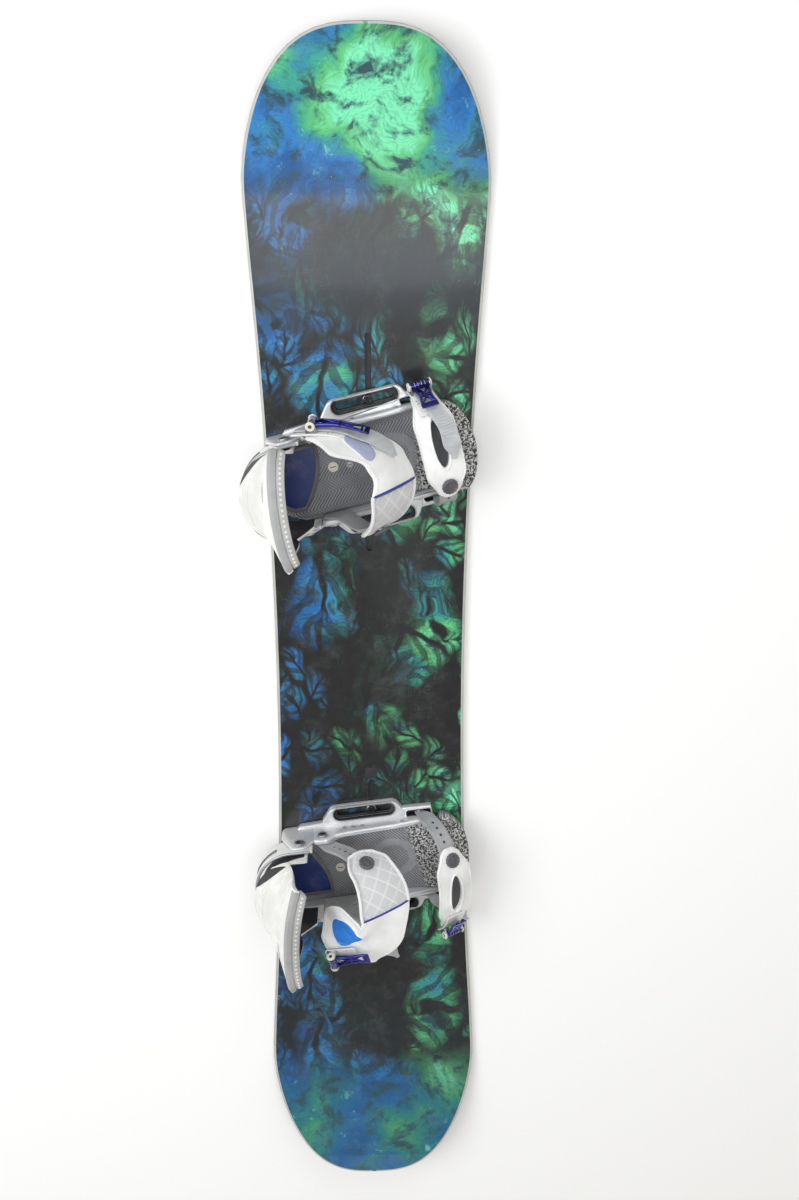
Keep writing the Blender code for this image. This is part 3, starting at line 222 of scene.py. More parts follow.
def table(*stops):
    """A value that runs softly from stop to stop along a length."""

    def value(x):
        if x <= stops[0][0]:
            return stops[0][1]
        for (x0, y0), (x1, y1) in zip(stops, stops[1:]):
            if x <= x1:
                return y0 + (y1 - y0) * soft_step((x - x0) / (x1 - x0))
        return stops[-1][1]

    return value


def level_line(s):
    return 0.0


def spread(first, last, count):
    """Even stops from first to last, with both ends."""
    return [first + (last - first) * i / count for i in range(count + 1)]


def circle(radius, sides):
    """Points round a circle."""
    turns = [2 * math.pi * k / sides for k in range(sides)]
    return [(radius * math.cos(t), radius * math.sin(t)) for t in turns]


def oblong(rear, front, low, high):
    return [(rear, low), (front, low), (front, high), (rear, high)]


def axes_at(place, x_way, y_way, z_way):
    """A frame at a place with its three ways."""
    return Matrix.Translation(place) @ Matrix((x_way, y_way, z_way)).transposed().to_4x4()


class StrapLine:
    """A smooth line over the foot through points of side, rise and drift, walked by its length."""

    def __init__(self, hinge, tilt, points, outward):
        self.hinge = hinge
        self.roll = level_line
        self.lean = level_line
        self.curl = None
        tilt = math.radians(tilt)
        self.up = Vector((math.sin(tilt), 0, math.cos(tilt)))
        self.across = Vector((math.cos(tilt), 0, -math.sin(tilt)))
        self.outward = outward
        line = [Vector((*p, 0.0)[:3]) for p in points]
        line = [line[0] * 2 - line[1]] + line + [line[-1] * 2 - line[-2]]
        self.samples = []
        for a, b, c, d in zip(line, line[1:], line[2:], line[3:]):
            for i in range(16):
                self.samples.append(self.between(a, b, c, d, i / 16))
        self.samples.append(line[-2])
        self.lengths = [0.0]
        for a, b in zip(self.samples, self.samples[1:]):
            self.lengths.append(self.lengths[-1] + (b - a).length)
        self.total = self.lengths[-1]

    @staticmethod
    def between(a, b, c, d, t):
        """A point from b to c on a curve through a, b, c and d, spaced by their distances."""
        k1 = max(1e-6, (b - a).length) ** 0.5
        k2 = k1 + max(1e-6, (c - b).length) ** 0.5
        k3 = k2 + max(1e-6, (d - c).length) ** 0.5
        k = k1 + (k2 - k1) * t
        ab = a * ((k1 - k) / k1) + b * (k / k1)
        bc = b * ((k2 - k) / (k2 - k1)) + c * ((k - k1) / (k2 - k1))
        cd = c * ((k3 - k) / (k3 - k2)) + d * ((k - k2) / (k3 - k2))
        abc = ab * ((k2 - k) / k2) + bc * (k / k2)
        bcd = bc * ((k3 - k) / (k3 - k1)) + cd * ((k - k1) / (k3 - k1))
        return abc * ((k2 - k) / (k2 - k1)) + bcd * ((k - k1) / (k2 - k1))

    def flat(self, s):
        """The place at a length, as side, rise and drift, and the way out there."""
        i = min(len(self.samples) - 2, max(0, bisect.bisect(self.lengths, s) - 1))
        share = (s - self.lengths[i]) / (self.lengths[i + 1] - self.lengths[i])
        here = self.samples[i].lerp(self.samples[i + 1], share)
        first = self.samples[max(i - 1, 0)].lerp(self.samples[i], share)
        last = self.samples[i + 1].lerp(self.samples[min(i + 2, len(self.samples) - 1)], share)
        way = (last - first).xy.normalized()
        return here, Vector((-way.y, way.x, 0)) * self.outward

    def lifted(self, s, lift):
        here, out = self.flat(s)
        return here + out * lift

    def point(self, s, drift, lift):
        turn = self.roll(s)
        back, down = self.curl(s, drift) if self.curl else (0.0, 0.0)
        here, out = self.flat(s + self.lean(s) * drift - back)
        here = here + out * (lift * math.cos(turn) + drift * math.sin(turn))
        here.z += drift * math.cos(turn) - lift * math.sin(turn)
        spot = self.hinge + self.up * here.y + Vector((0, here.x, 0)) + self.across * here.z
        spot.z -= down
        return spot

    def frame(self, s, drift, lift, back):
        """x along the line, or against it, z out."""
        step = 0.002
        here = self.point(s, drift(s), lift)
        along = self.point(s + step, drift(s + step), lift) - self.point(s - step, drift(s - step), lift)
        along = along.normalized() * (-1 if back else 1)
        out = (self.point(s, drift(s), lift + step) - here).normalized()
        along = (along - out * along.dot(out)).normalized()
        return axes_at(here, along, out.cross(along), out)

    def falls_to(self, rise):
        """The last length at which the line comes down to a rise."""
        for i in range(len(self.samples) - 1, 0, -1):
            if self.samples[i].y <= rise <= self.samples[i - 1].y:
                return self.lengths[i]
        return self.total


def rounded(outline, radius, steps=5):
    """An outline with each corner turned on an arc."""
    points = [Vector(p) for p in outline]
    done = []
    for before, here, after in zip(points[-1:] + points[:-1], points, points[1:] + points[:1]):
        one = (before - here).normalized()
        two = (after - here).normalized()
        half = one.angle(two) / 2
        reach = min(radius / math.tan(half), 0.45 * (before - here).length, 0.45 * (after - here).length)
        turn = reach * math.tan(half)
        centre = here + (one + two).normalized() * (reach / math.cos(half))
        start = here + one * reach - centre
        finish = here + two * reach - centre
        for i in range(steps + 1):
            arm = start.lerp(finish, i / steps).normalized() * turn
            done.append(tuple(centre + arm))
    return done


def capsule(length, width, at=(0, 0), steps=10):
    """A slot's outline, long along x."""
    radius = width / 2
    line = []
    for end in (1, -1):
        for i in range(steps + 1):
            angle = math.pi * (i / steps - 0.5)
            x = end * (length / 2 - radius + radius * math.cos(angle))
            line.append((at[0] + x, at[1] + end * radius * math.sin(angle)))
    return line


def turned_way(outline, left):
    """The outline, walked so that its inside lies to the left or to the right."""
    area = sum(a[0] * b[1] - b[0] * a[1] for a, b in zip(outline, outline[1:] + outline[:1]))
    return outline if (area > 0) == left else outline[::-1]


def drawn_left(outline, by):
    """An outline moved to the left of the way it is walked."""
    done = []
    for before, here, after in zip(outline[-1:] + outline[:-1], outline, outline[1:] + outline[:1]):
        one = Vector((here[0] - before[0], here[1] - before[1])).normalized()
        two = Vector((after[0] - here[0], after[1] - here[1])).normalized()
        way = (one + two).normalized()
        stretch = min(1.6, 1 / max(0.5, way.dot(one)))
        done.append((here[0] - way.y * by * stretch, here[1] + way.x * by * stretch))
    return done


def ring_middle(ring):
    return sum(ring, Vector()) / len(ring)


class Blank:
    """A piece on the bench: its points and faces, the flat measure of each corner, and marks on points."""

    def __init__(self):
        self.points = []
        self.faces = []
        self.flats = []
        self.finishes = []
        self.marks = {}

    def face(self, corners, flats, finish):
        self.faces.append(corners)
        self.flats.append(flats)
        self.finishes.append(finish)

    def loft(self, rings, caps=True, finish=0, back=False):
        """A skin over closed rings of points, and back joins the last ring to the first."""
        wide = len(rings[0])
        first = len(self.points)
        for ring in rings:
            self.points.extend(ring)
        middle = rings[len(rings) // 2]
        across = [0.0]
        for i in range(wide):
            across.append(across[-1] + (middle[(i + 1) % wide] - middle[i]).length)
        middles = [ring_middle(ring) for ring in rings + rings[:1]]
        along = [0.0]
        for one, two in zip(middles, middles[1:]):
            along.append(along[-1] + (two - one).length)
        for r in range(len(rings) if back else len(rings) - 1):
            here = first + r * wide
            there = first + (r + 1) % len(rings) * wide
            for i in range(wide):
                j = (i + 1) % wide
                flats = [(across[k], along[m]) for k, m in oblong(i, i + 1, r, r + 1)]
                self.face([here + i, here + j, there + j, there + i], flats, finish)
        if caps and not back:
            last = first + (len(rings) - 1) * wide
            self.face([first + i for i in reversed(range(wide))], [(0.0, 0.0)] * wide, finish)
            self.face([last + i for i in range(wide)], [(0.0, 0.0)] * wide, finish)

    def tube(self, points, radius, sides=8, back=False, finish=0, taper=False):
        """A round bead along points."""
        points = [Vector(p) for p in points]
        count = len(points)
        rings = []
        normal = None
        for i, here in enumerate(points):
            before = points[i - 1] if back or i else here
            after = points[(i + 1) % count] if back or i < count - 1 else here
            way = (after - before).normalized()
            if normal is None:
                normal = way.orthogonal().normalized()
            normal = (normal - way * normal.dot(way)).normalized()
            other = way.cross(normal)
            size = radius * (0.45 if taper and i in (0, count - 1) else 1.0)
            rings.append([here + (normal * a + other * b) * size for a, b in circle(1.0, sides)])
        self.loft(rings, back=back, finish=finish)

    def turn(self, profile, sides, place, flutes=0, depth=0.0, finish=0):
        """A shape turned about z from a profile of radius and height, with flutes in its rim."""
        rings = []
        for radius, height in profile:
            ring = []
            for k in range(sides):
                t = 2 * math.pi * k / sides
                r = radius * (1 - depth * (0.5 + 0.5 * math.cos(flutes * t))) if flutes else radius
                ring.append(place @ Vector((r * math.cos(t), r * math.sin(t), height)))
            rings.append(ring)
        self.loft(rings, finish=finish)

    def slab(self, outlines, low, high, over, place=None, finish=0, hole_shade_finish=None, steps=3):
        """An outline, with holes after it, given thickness and rounded edges."""
        place = place or Matrix()
        bottoms, tops = [], []
        for n, outline in enumerate(outlines):
            line = turned_way([tuple(p)[:2] for p in outline], n == 0)
            rings = []
            for i in range(steps + 1):
                angle = math.pi / 2 * (1 - i / steps)
                inset = drawn_left(line, over * (1 - math.cos(angle)))
                rings.append((inset, low + over * (1 - math.sin(angle))))
            rings += [(ring, low + high - z) for ring, z in reversed(rings)]
            # Hole walls may take their own finish, used as painted shade in holes.
            paint = finish if n == 0 or hole_shade_finish is None else hole_shade_finish
            start = len(self.points)
            lofted = [[place @ Vector((x, y, z)) for x, y in ring] for ring, z in rings]
            self.loft(lofted, caps=False, finish=paint)
            bottoms.append((rings[0][0], start))
            tops.append((rings[-1][0], start + (len(rings) - 1) * len(line)))
        for group in (bottoms, tops):
            loops = [[Vector((x, y, 0)) for x, y in ring] for ring, start in group]
            index = [start + k for ring, start in group for k in range(len(ring))]
            flat = [(x, y) for ring, start in group for x, y in ring]
            for triangle in tessellate_polygon(loops):
                self.face([index[k] for k in triangle], [flat[k] for k in triangle], finish)

    def sheet(self, columns, rows, place):
        """A thick sheet bent to shape: place(p, q, outer) gives each corner."""
        first = len(self.points)
        wide = columns + 1
        for outer in (True, False):
            for j in range(rows + 1):
                for i in range(wide):
                    self.points.append(place(i / columns, j / rows, outer))
        back = first + wide * (rows + 1)
        for start in (first, back):
            for j in range(rows):
                for i in range(columns):
                    k = start + j * wide + i
                    flats = [(c / columns, r / rows) for c, r in oblong(i, i + 1, j, j + 1)]
                    self.face([k, k + 1, k + wide + 1, k + wide], flats, 0)
        rim = list(range(columns)) + [j * wide + columns for j in range(rows)]
        rim += [rows * wide + i for i in range(columns, 0, -1)] + [j * wide for j in range(rows, 0, -1)]
        for a, b in zip(rim, rim[1:] + rim[:1]):
            self.face([first + a, first + b, back + b, back + a], [(0.0, 0.0)] * 4, 0)

    def band(self, line, first, last, drift, half, low, high, over, crown=0.0, rows=40, count=6, finish=0):
        """A strip of strap along a line, crowned above, with rounded edges and ends."""
        rings = []
        stops = [(0.0, 0.6), (0.35, 0.25)]
        runs = [(first + over * near, over * less) for near, less in stops]
        runs += [(s, 0.0) for s in spread(first + over, last - over, rows)]
        runs += [(last - over * near, over * less) for near, less in reversed(stops)]
        for s, less in runs:
            section = strip_section(half(s) - less, low + less, high - less, over, crown, count)
            rings.append([line.point(s, drift(s) + a, lift) for a, lift in section])
        self.loft(rings, finish=finish)

    def stitches(self, points, ways, long, radius, finish):
        """Tacks of thread that dip at both ends, each with the thread's way and the skin's way out."""
        for here, (way, out) in zip(points, ways):
            a = here - way * (long / 2)
            b = here + way * (long / 2)
            mid = out * (radius * 0.8)
            line = [a, a.lerp(b, 0.3) + mid, a.lerp(b, 0.7) + mid, b]
            self.tube(line, radius, 6, finish=finish, taper=True)


def strip_section(half, low, high, over, crown, count):
    """Across and lift round a strap: flat below, crowned above, with rounded edges."""
    over = min(over, half * 0.6, (high - low) * (1 - crown) * 0.45)
    inner = half - over

    def top(a):
        return high - crown * (high - low) * abs(a / half) ** CROWN_POWER

    def corner(middle, height, *degrees):
        turns = [math.radians(d) for d in degrees]
        return [(middle + over * math.cos(t), height + over * math.sin(t)) for t in turns]

    edge = top(inner) - over
    line = [(a, top(a)) for a in spread(-inner, inner, count)]
    line += corner(inner, edge, 60, 30, 0) + corner(inner, low + over, 0, -45, -90) + [(0.0, low)]
    return line + corner(-inner, low + over, -90, -135, -180) + corner(-inner, edge, 180, 150, 120)


def sideways(x, y, z, way=1):
    """A frame at a place with its z along y, or against it."""
    return Matrix.Translation((x, y, z)) @ Matrix.Rotation(-way * math.pi / 2, 4, "X")


# Stands a flat outline of x and z up, with its thickness along y
UPRIGHT = Matrix(((1, 0, 0, 0), (0, 0, 1, 0), (0, 1, 0, 0), (0, 0, 0, 1)))


def set_on(name, blank, finishes, body, fit=None, stands_for=(), soften=0.0, sharp=40.0):
    """Turn a blank into a finished piece that rides on a body and stands for its frame nodes."""
    bm = bmesh.new()
    flat = bm.loops.layers.uv.new("flat")
    mark = bm.loops.layers.uv.new("mark")
    corners = [bm.verts.new(p) for p in blank.points]
    for face, flats, finish in zip(blank.faces, blank.flats, blank.finishes):
        made = bm.faces.new([corners[c] for c in face])
        made.material_index = finish
        made.smooth = True
        for loop, place, corner in zip(made.loops, flats, face):
            loop[flat].uv = place
            loop[mark].uv = blank.marks.get(corner, (0.0, 0.0))
    bmesh.ops.recalc_face_normals(bm, faces=bm.faces[:])
    if soften:
        limit = math.radians(sharp)
        edges = [e for e in bm.edges if len(e.link_faces) == 2 and e.calc_face_angle(0.0) > limit]
        bmesh.ops.bevel(bm, geom=edges, offset=soften, segments=2, profile=0.5, affect="EDGES",
                        clamp_overlap=True)
        for made in bm.faces:
            made.smooth = True
    if fit is not None:
        bmesh.ops.transform(bm, matrix=fit, verts=bm.verts[:])
        if fit.determinant() < 0:
            bmesh.ops.reverse_faces(bm, faces=bm.faces[:])
    mesh = bpy.data.meshes.new(name)
    bm.to_mesh(mesh)
    bm.free()
    mesh.set_sharp_from_angle(angle=math.radians(sharp))
    for finish in finishes:
        mesh.materials.append(finish)
    made = bpy.data.objects.new(name, mesh)
    bpy.context.scene.collection.objects.link(made)
    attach(made, body)
    if stands_for:
        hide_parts(*stands_for)
    return made


class Nodes:
    """Lays and joins the nodes of one material or group."""

    def __init__(self, tree):
        self.tree = tree

    def lay(self, kind, inputs=None, **settings):
        node = self.tree.nodes.new(kind)
        for key, value in settings.items():
            setattr(node, key, value)
        for key, value in (inputs or {}).items():
            self.feed(node.inputs[key], value)
        return node

    def feed(self, socket, value):
        """Join a socket to another, or set its value. Colours are solid."""
        if isinstance(value, bpy.types.NodeSocket):
            self.tree.links.new(value, socket)
        else:
            socket.default_value = (*value, 1.0) if socket.type == "RGBA" else value

    def sum(self, operation, *values, clamp=False):
        inputs = dict(enumerate(values))
        return self.lay("ShaderNodeMath", inputs, operation=operation, use_clamp=clamp).outputs[0]

    def times(self, one, two):
        return self.sum("MULTIPLY", one, two)

    def plus(self, one, two, clamp=False):
        return self.sum("ADD", one, two, clamp=clamp)

    def minus(self, one, two):
        return self.sum("SUBTRACT", one, two)

    def most(self, one, two):
        return self.sum("MAXIMUM", one, two)

    def scaled(self, value, by, plus, clamp=False):
        return self.sum("MULTIPLY_ADD", value, by, plus, clamp=clamp)

    def shift(self, operation, *values, out=0):
        return self.lay("ShaderNodeVectorMath", dict(enumerate(values)), operation=operation).outputs[out]

    def mix(self, share, one, two):
        return self.lay("ShaderNodeMix", {0: share, 6: one, 7: two}, data_type="RGBA").outputs[2]

    def noise(self, place, scale, detail=2.0, rough=0.5, warp=0.0, out=0):
        inputs = {"Vector": place, "Scale": scale, "Detail": detail, "Roughness": rough, "Distortion": warp}
        return self.lay("ShaderNodeTexNoise", inputs).outputs[out]

    def step(self, value, low, high):
        """0 below low, 1 above high."""
        inputs = {0: value, 1: low, 2: high}
        return self.lay("ShaderNodeMapRange", inputs, interpolation_type="SMOOTHSTEP").outputs[0]

    def ramp(self, value, stops):
        node = self.lay("ShaderNodeValToRGB", {0: value})
        band = node.color_ramp
        while len(band.elements) < len(stops):
            band.elements.new(1.0)
        for element, (at, colour) in zip(band.elements, stops):
            element.position = at
            element.color = (*colour, 1.0)
        return node.outputs[0]

    def parts(self, vector):
        return self.lay("ShaderNodeSeparateXYZ", {0: vector}).outputs

    def joined(self, x, y, z):
        return self.lay("ShaderNodeCombineXYZ", {0: x, 1: y, 2: z}).outputs[0]

    def group(self, made, **inputs):
        return self.lay("ShaderNodeGroup", inputs, node_tree=made).outputs


class Finish(Nodes):
    """A material for one finish."""

    def __init__(self, name, colour, roughness=0.4, metallic=0.0, **sockets):
        self.material = bpy.data.materials.new(name)
        self.material.use_nodes = True
        super().__init__(self.material.node_tree)
        self.shader = self.tree.nodes["Principled BSDF"]
        self.shader.inputs["Base Color"].default_value = (*colour, 1.0)
        self.shader.inputs["Roughness"].default_value = roughness
        self.shader.inputs["Metallic"].default_value = metallic
        for key, value in sockets.items():
            self.shader.inputs[key.replace("_", " ").title().replace("Ior", "IOR")].default_value = value

    def place(self):
        return self.lay("ShaderNodeTexCoord").outputs["Object"]

    def uv(self, layer):
        return self.lay("ShaderNodeUVMap", uv_map=layer).outputs[0]

    def paint(self, colour):
        self.feed(self.shader.inputs["Base Color"], colour)

    def rough(self, value):
        self.feed(self.shader.inputs["Roughness"], value)

    def bump(self, height, distance, strength=1.0):
        inputs = {"Height": height, "Distance": distance, "Strength": strength}
        self.feed(self.shader.inputs["Normal"], self.lay("ShaderNodeBump", inputs).outputs[0])


def node_group(name, inputs, outputs):
    """An empty shader group with its sockets, ready for its nodes."""
    tree = bpy.data.node_groups.new(name, "ShaderNodeTree")
    for label, kind, value in inputs:
        socket = tree.interface.new_socket(name=label, in_out="INPUT", socket_type=kind)
        if value is not None:
            socket.default_value = value
    for label, kind in outputs:
        tree.interface.new_socket(name=label, in_out="OUTPUT", socket_type=kind)
    nodes = Nodes(tree)
    return nodes, nodes.lay("NodeGroupInput").outputs, nodes.lay("NodeGroupOutput").inputs


FLOAT = "NodeSocketFloat"
VECTOR = "NodeSocketVector"


def make_grain():
    """Fine moulded or leather grain, and the slow change of tone under it."""
    inputs = [("Place", VECTOR, None), ("Scale", FLOAT, 900.0)]
    nodes, given, out = node_group("grain", inputs, [("Height", FLOAT), ("Tone", FLOAT)])
    fine = nodes.noise(given["Place"], given["Scale"], 3.0, 0.6)
    cells = nodes.lay("ShaderNodeTexVoronoi", {"Vector": given["Place"], "Scale": given["Scale"]}).outputs[0]
    nodes.feed(out["Height"], nodes.plus(fine, nodes.times(cells, 0.5)))
    nodes.feed(out["Tone"], nodes.noise(given["Place"], 23.0, 3.0, 0.55))
    return nodes.tree


def make_scuffs():
    """Thin scratches in two directions, kept to patches."""
    inputs = [("Place", VECTOR, None), ("Scale", FLOAT, 60.0), ("Amount", FLOAT, 0.5)]
    nodes, given, out = node_group("scuffs", inputs, [("Mask", FLOAT)])
    lines = []
    for stretch in ((1.0, 9.0, 2.0), (8.0, 1.2, 2.0)):
        place = nodes.shift("MULTIPLY", given["Place"], stretch)
        streak = nodes.noise(place, given["Scale"], 2.0, 0.4, 0.4)
        lines.append(nodes.step(nodes.sum("ABSOLUTE", nodes.minus(streak, 0.5)), 0.010, 0.0))
    patch = nodes.step(nodes.noise(given["Place"], 19.0, 2.0), 0.50, 0.68)
    nodes.feed(out["Mask"], nodes.times(nodes.times(nodes.most(*lines), patch), given["Amount"]))
    return nodes.tree


def make_weave():
    """Plain weave: threads over and under, by the place in metres."""
    inputs = [("Place", VECTOR, None), ("Threads", FLOAT, 900.0)]
    nodes, given, out = node_group("weave", inputs, [("Height", FLOAT), ("Tone", FLOAT)])
    scale = nodes.times(given["Threads"], math.pi)
    scaled = nodes.lay("ShaderNodeVectorMath", {0: given["Place"], "Scale": scale}, operation="SCALE")
    x, y, z = nodes.parts(scaled.outputs[0])
    over = nodes.times(nodes.sum("SINE", x), nodes.sum("SINE", y))
    fuzz = nodes.noise(given["Place"], 2600.0, 2.0)
    nodes.feed(out["Height"], nodes.plus(nodes.sum("ABSOLUTE", over), nodes.times(fuzz, 0.35)))
    nodes.feed(out["Tone"], nodes.plus(nodes.times(over, 0.5), 0.5))
    return nodes.tree


def make_dust():
    """Pale dust and melt marks that settle on what faces up."""
    inputs = [("Place", VECTOR, None), ("Amount", FLOAT, 0.3)]
    nodes, given, out = node_group("dust", inputs, [("Mask", FLOAT)])
    up = nodes.parts(nodes.lay("ShaderNodeNewGeometry").outputs["Normal"])[2]
    drift = nodes.noise(given["Place"], 34.0, 5.0, 0.62)
    specks = nodes.step(nodes.noise(given["Place"], 420.0, 1.0), 0.70, 0.76)
    settled = nodes.plus(nodes.step(drift, 0.48, 0.78), nodes.times(specks, 0.5))
    nodes.feed(out["Mask"], nodes.times(nodes.times(settled, nodes.step(up, 0.1, 0.9)), given["Amount"]))
    return nodes.tree


def make_wear():
    """Rubbed edges, broken up by noise."""
    inputs = [("Place", VECTOR, None), ("Amount", FLOAT, 0.5)]
    nodes, given, out = node_group("wear", inputs, [("Mask", FLOAT)])
    edge = nodes.step(nodes.lay("ShaderNodeNewGeometry").outputs["Pointiness"], 0.52, 0.60)
    broken = nodes.step(nodes.noise(given["Place"], 150.0, 4.0, 0.6), 0.42, 0.62)
    nodes.feed(out["Mask"], nodes.times(nodes.times(edge, broken), given["Amount"]))
    return nodes.tree


GRAIN = make_grain()
SCUFFS = make_scuffs()
WEAVE = make_weave()
DUST = make_dust()
WEAR = make_wear()


def shade(colour, by, plus=0.0):
    """A colour made darker or lighter."""
    return tuple(min(1.0, c * by + plus) for c in colour)


def moulded(name, colour, roughness=0.3, grain=900.0, depth=0.00002, scuff=0.35, dust=0.15, wear=0.3,
            **sockets):
    """Moulded plastic or rubber: grain, a slow change of tone, scuffs, worn edges and dust."""
    made = Finish(name, colour, roughness, **sockets)
    place = made.place()
    height, tone = made.group(GRAIN, Place=place, Scale=grain)[:]
    scuffs = made.group(SCUFFS, Place=place, Amount=scuff)[0]
    settled = made.group(DUST, Place=place, Amount=dust)[0]
    worn = made.group(WEAR, Place=place, Amount=wear)[0]
    pale = sum(colour) / 3 > 0.4
    base = made.mix(made.step(tone, 0.3, 0.7), shade(colour, 0.86), shade(colour, 1.06))
    base = made.mix(scuffs, base, (0.30, 0.30, 0.31) if pale else shade(colour, 1.8, 0.05))
    base = made.mix(worn, base, shade(colour, 0.75, 0.10))
    made.paint(made.mix(settled, base, (0.62, 0.61, 0.58)))
    uneven = made.scaled(tone, 0.16, roughness - 0.08)
    made.rough(made.plus(uneven, made.times(scuffs, 0.25), clamp=True))
    made.bump(made.minus(height, made.times(scuffs, 1.5)), depth)
    return made.material


def brushed(name, colour, roughness=0.3, scuff=0.4):
    """Metal with a brushed finish and handling marks."""
    made = Finish(name, colour, roughness, 1.0)
    place = made.place()
    lines = made.noise(made.shift("MULTIPLY", place, (1.0, 30.0, 30.0)), 260.0, 4.0, 0.6)
    scuffs = made.group(SCUFFS, Place=place, Amount=scuff)[0]
    tone = made.noise(place, 40.0, 3.0)
    base = made.mix(made.step(tone, 0.3, 0.7), shade(colour, 0.78), colour)
    made.paint(made.mix(scuffs, base, shade(colour, 1.3)))
    made.rough(made.scaled(lines, 0.24, roughness - 0.10, clamp=True))
    made.bump(lines, 0.00001)
    return made.material


def woven(name, colour, threads, roughness=0.8, layer=None, seam=None):
    """Sewn cloth: a weave, slow fading, and paler thread where a seam is marked."""
    made = Finish(name, colour, roughness, sheen_weight=0.25, sheen_roughness=0.5)
    place = made.place()
    height, tone = made.group(WEAVE, Place=made.uv(layer) if layer else place, Threads=threads)[:]
    fade = made.noise(place, 30.0, 4.0, 0.6)
    base = made.mix(tone, shade(colour, 0.80), shade(colour, 1.08))
    base = made.mix(made.step(fade, 0.35, 0.75), base, shade(colour, 0.90))
    if seam:
        base = made.mix(made.parts(made.uv("mark"))[0], base, seam)
    settled = made.group(DUST, Place=place, Amount=0.12)[0]
    made.paint(made.mix(settled, base, (0.60, 0.59, 0.56)))
    made.rough(made.scaled(fade, 0.15, roughness - 0.08))
    made.bump(height, 0.00012)
    return made.material


def leaf_etching(made, place, scale, stretch, turned):
    """Etched leaves: light middles, slanted veins and a dark midrib, each leaf with its own tone."""
    spread_out = made.shift("MULTIPLY", place, stretch)
    inputs = {"Vector": spread_out, "Scale": scale, "Randomness": 0.9}
    cells = made.lay("ShaderNodeTexVoronoi", inputs).outputs
    tone, spin, spare = made.parts(cells["Color"])
    local = made.shift("SUBTRACT", spread_out, cells["Position"])
    inputs = {"Vector": local, "Angle": made.scaled(spin, 3.0, turned)}
    x, y, z = made.parts(made.lay("ShaderNodeVectorRotate", inputs, rotation_type="Z_AXIS").outputs[0])
    side = made.sum("ABSOLUTE", y)
    slant = made.times(made.plus(x, made.times(side, 1.1)), 62.0 * scale / 4)
    vein = made.step(made.sum("SINE", slant), -0.45, 0.05)
    rib = made.step(side, 0.025 / scale, 0.075 / scale)
    body = made.step(cells["Distance"], 0.56, 0.26)
    lines = made.times(made.scaled(vein, 0.70, 0.30), rib)
    return made.times(made.times(body, lines), made.scaled(tone, 0.95, 0.50))


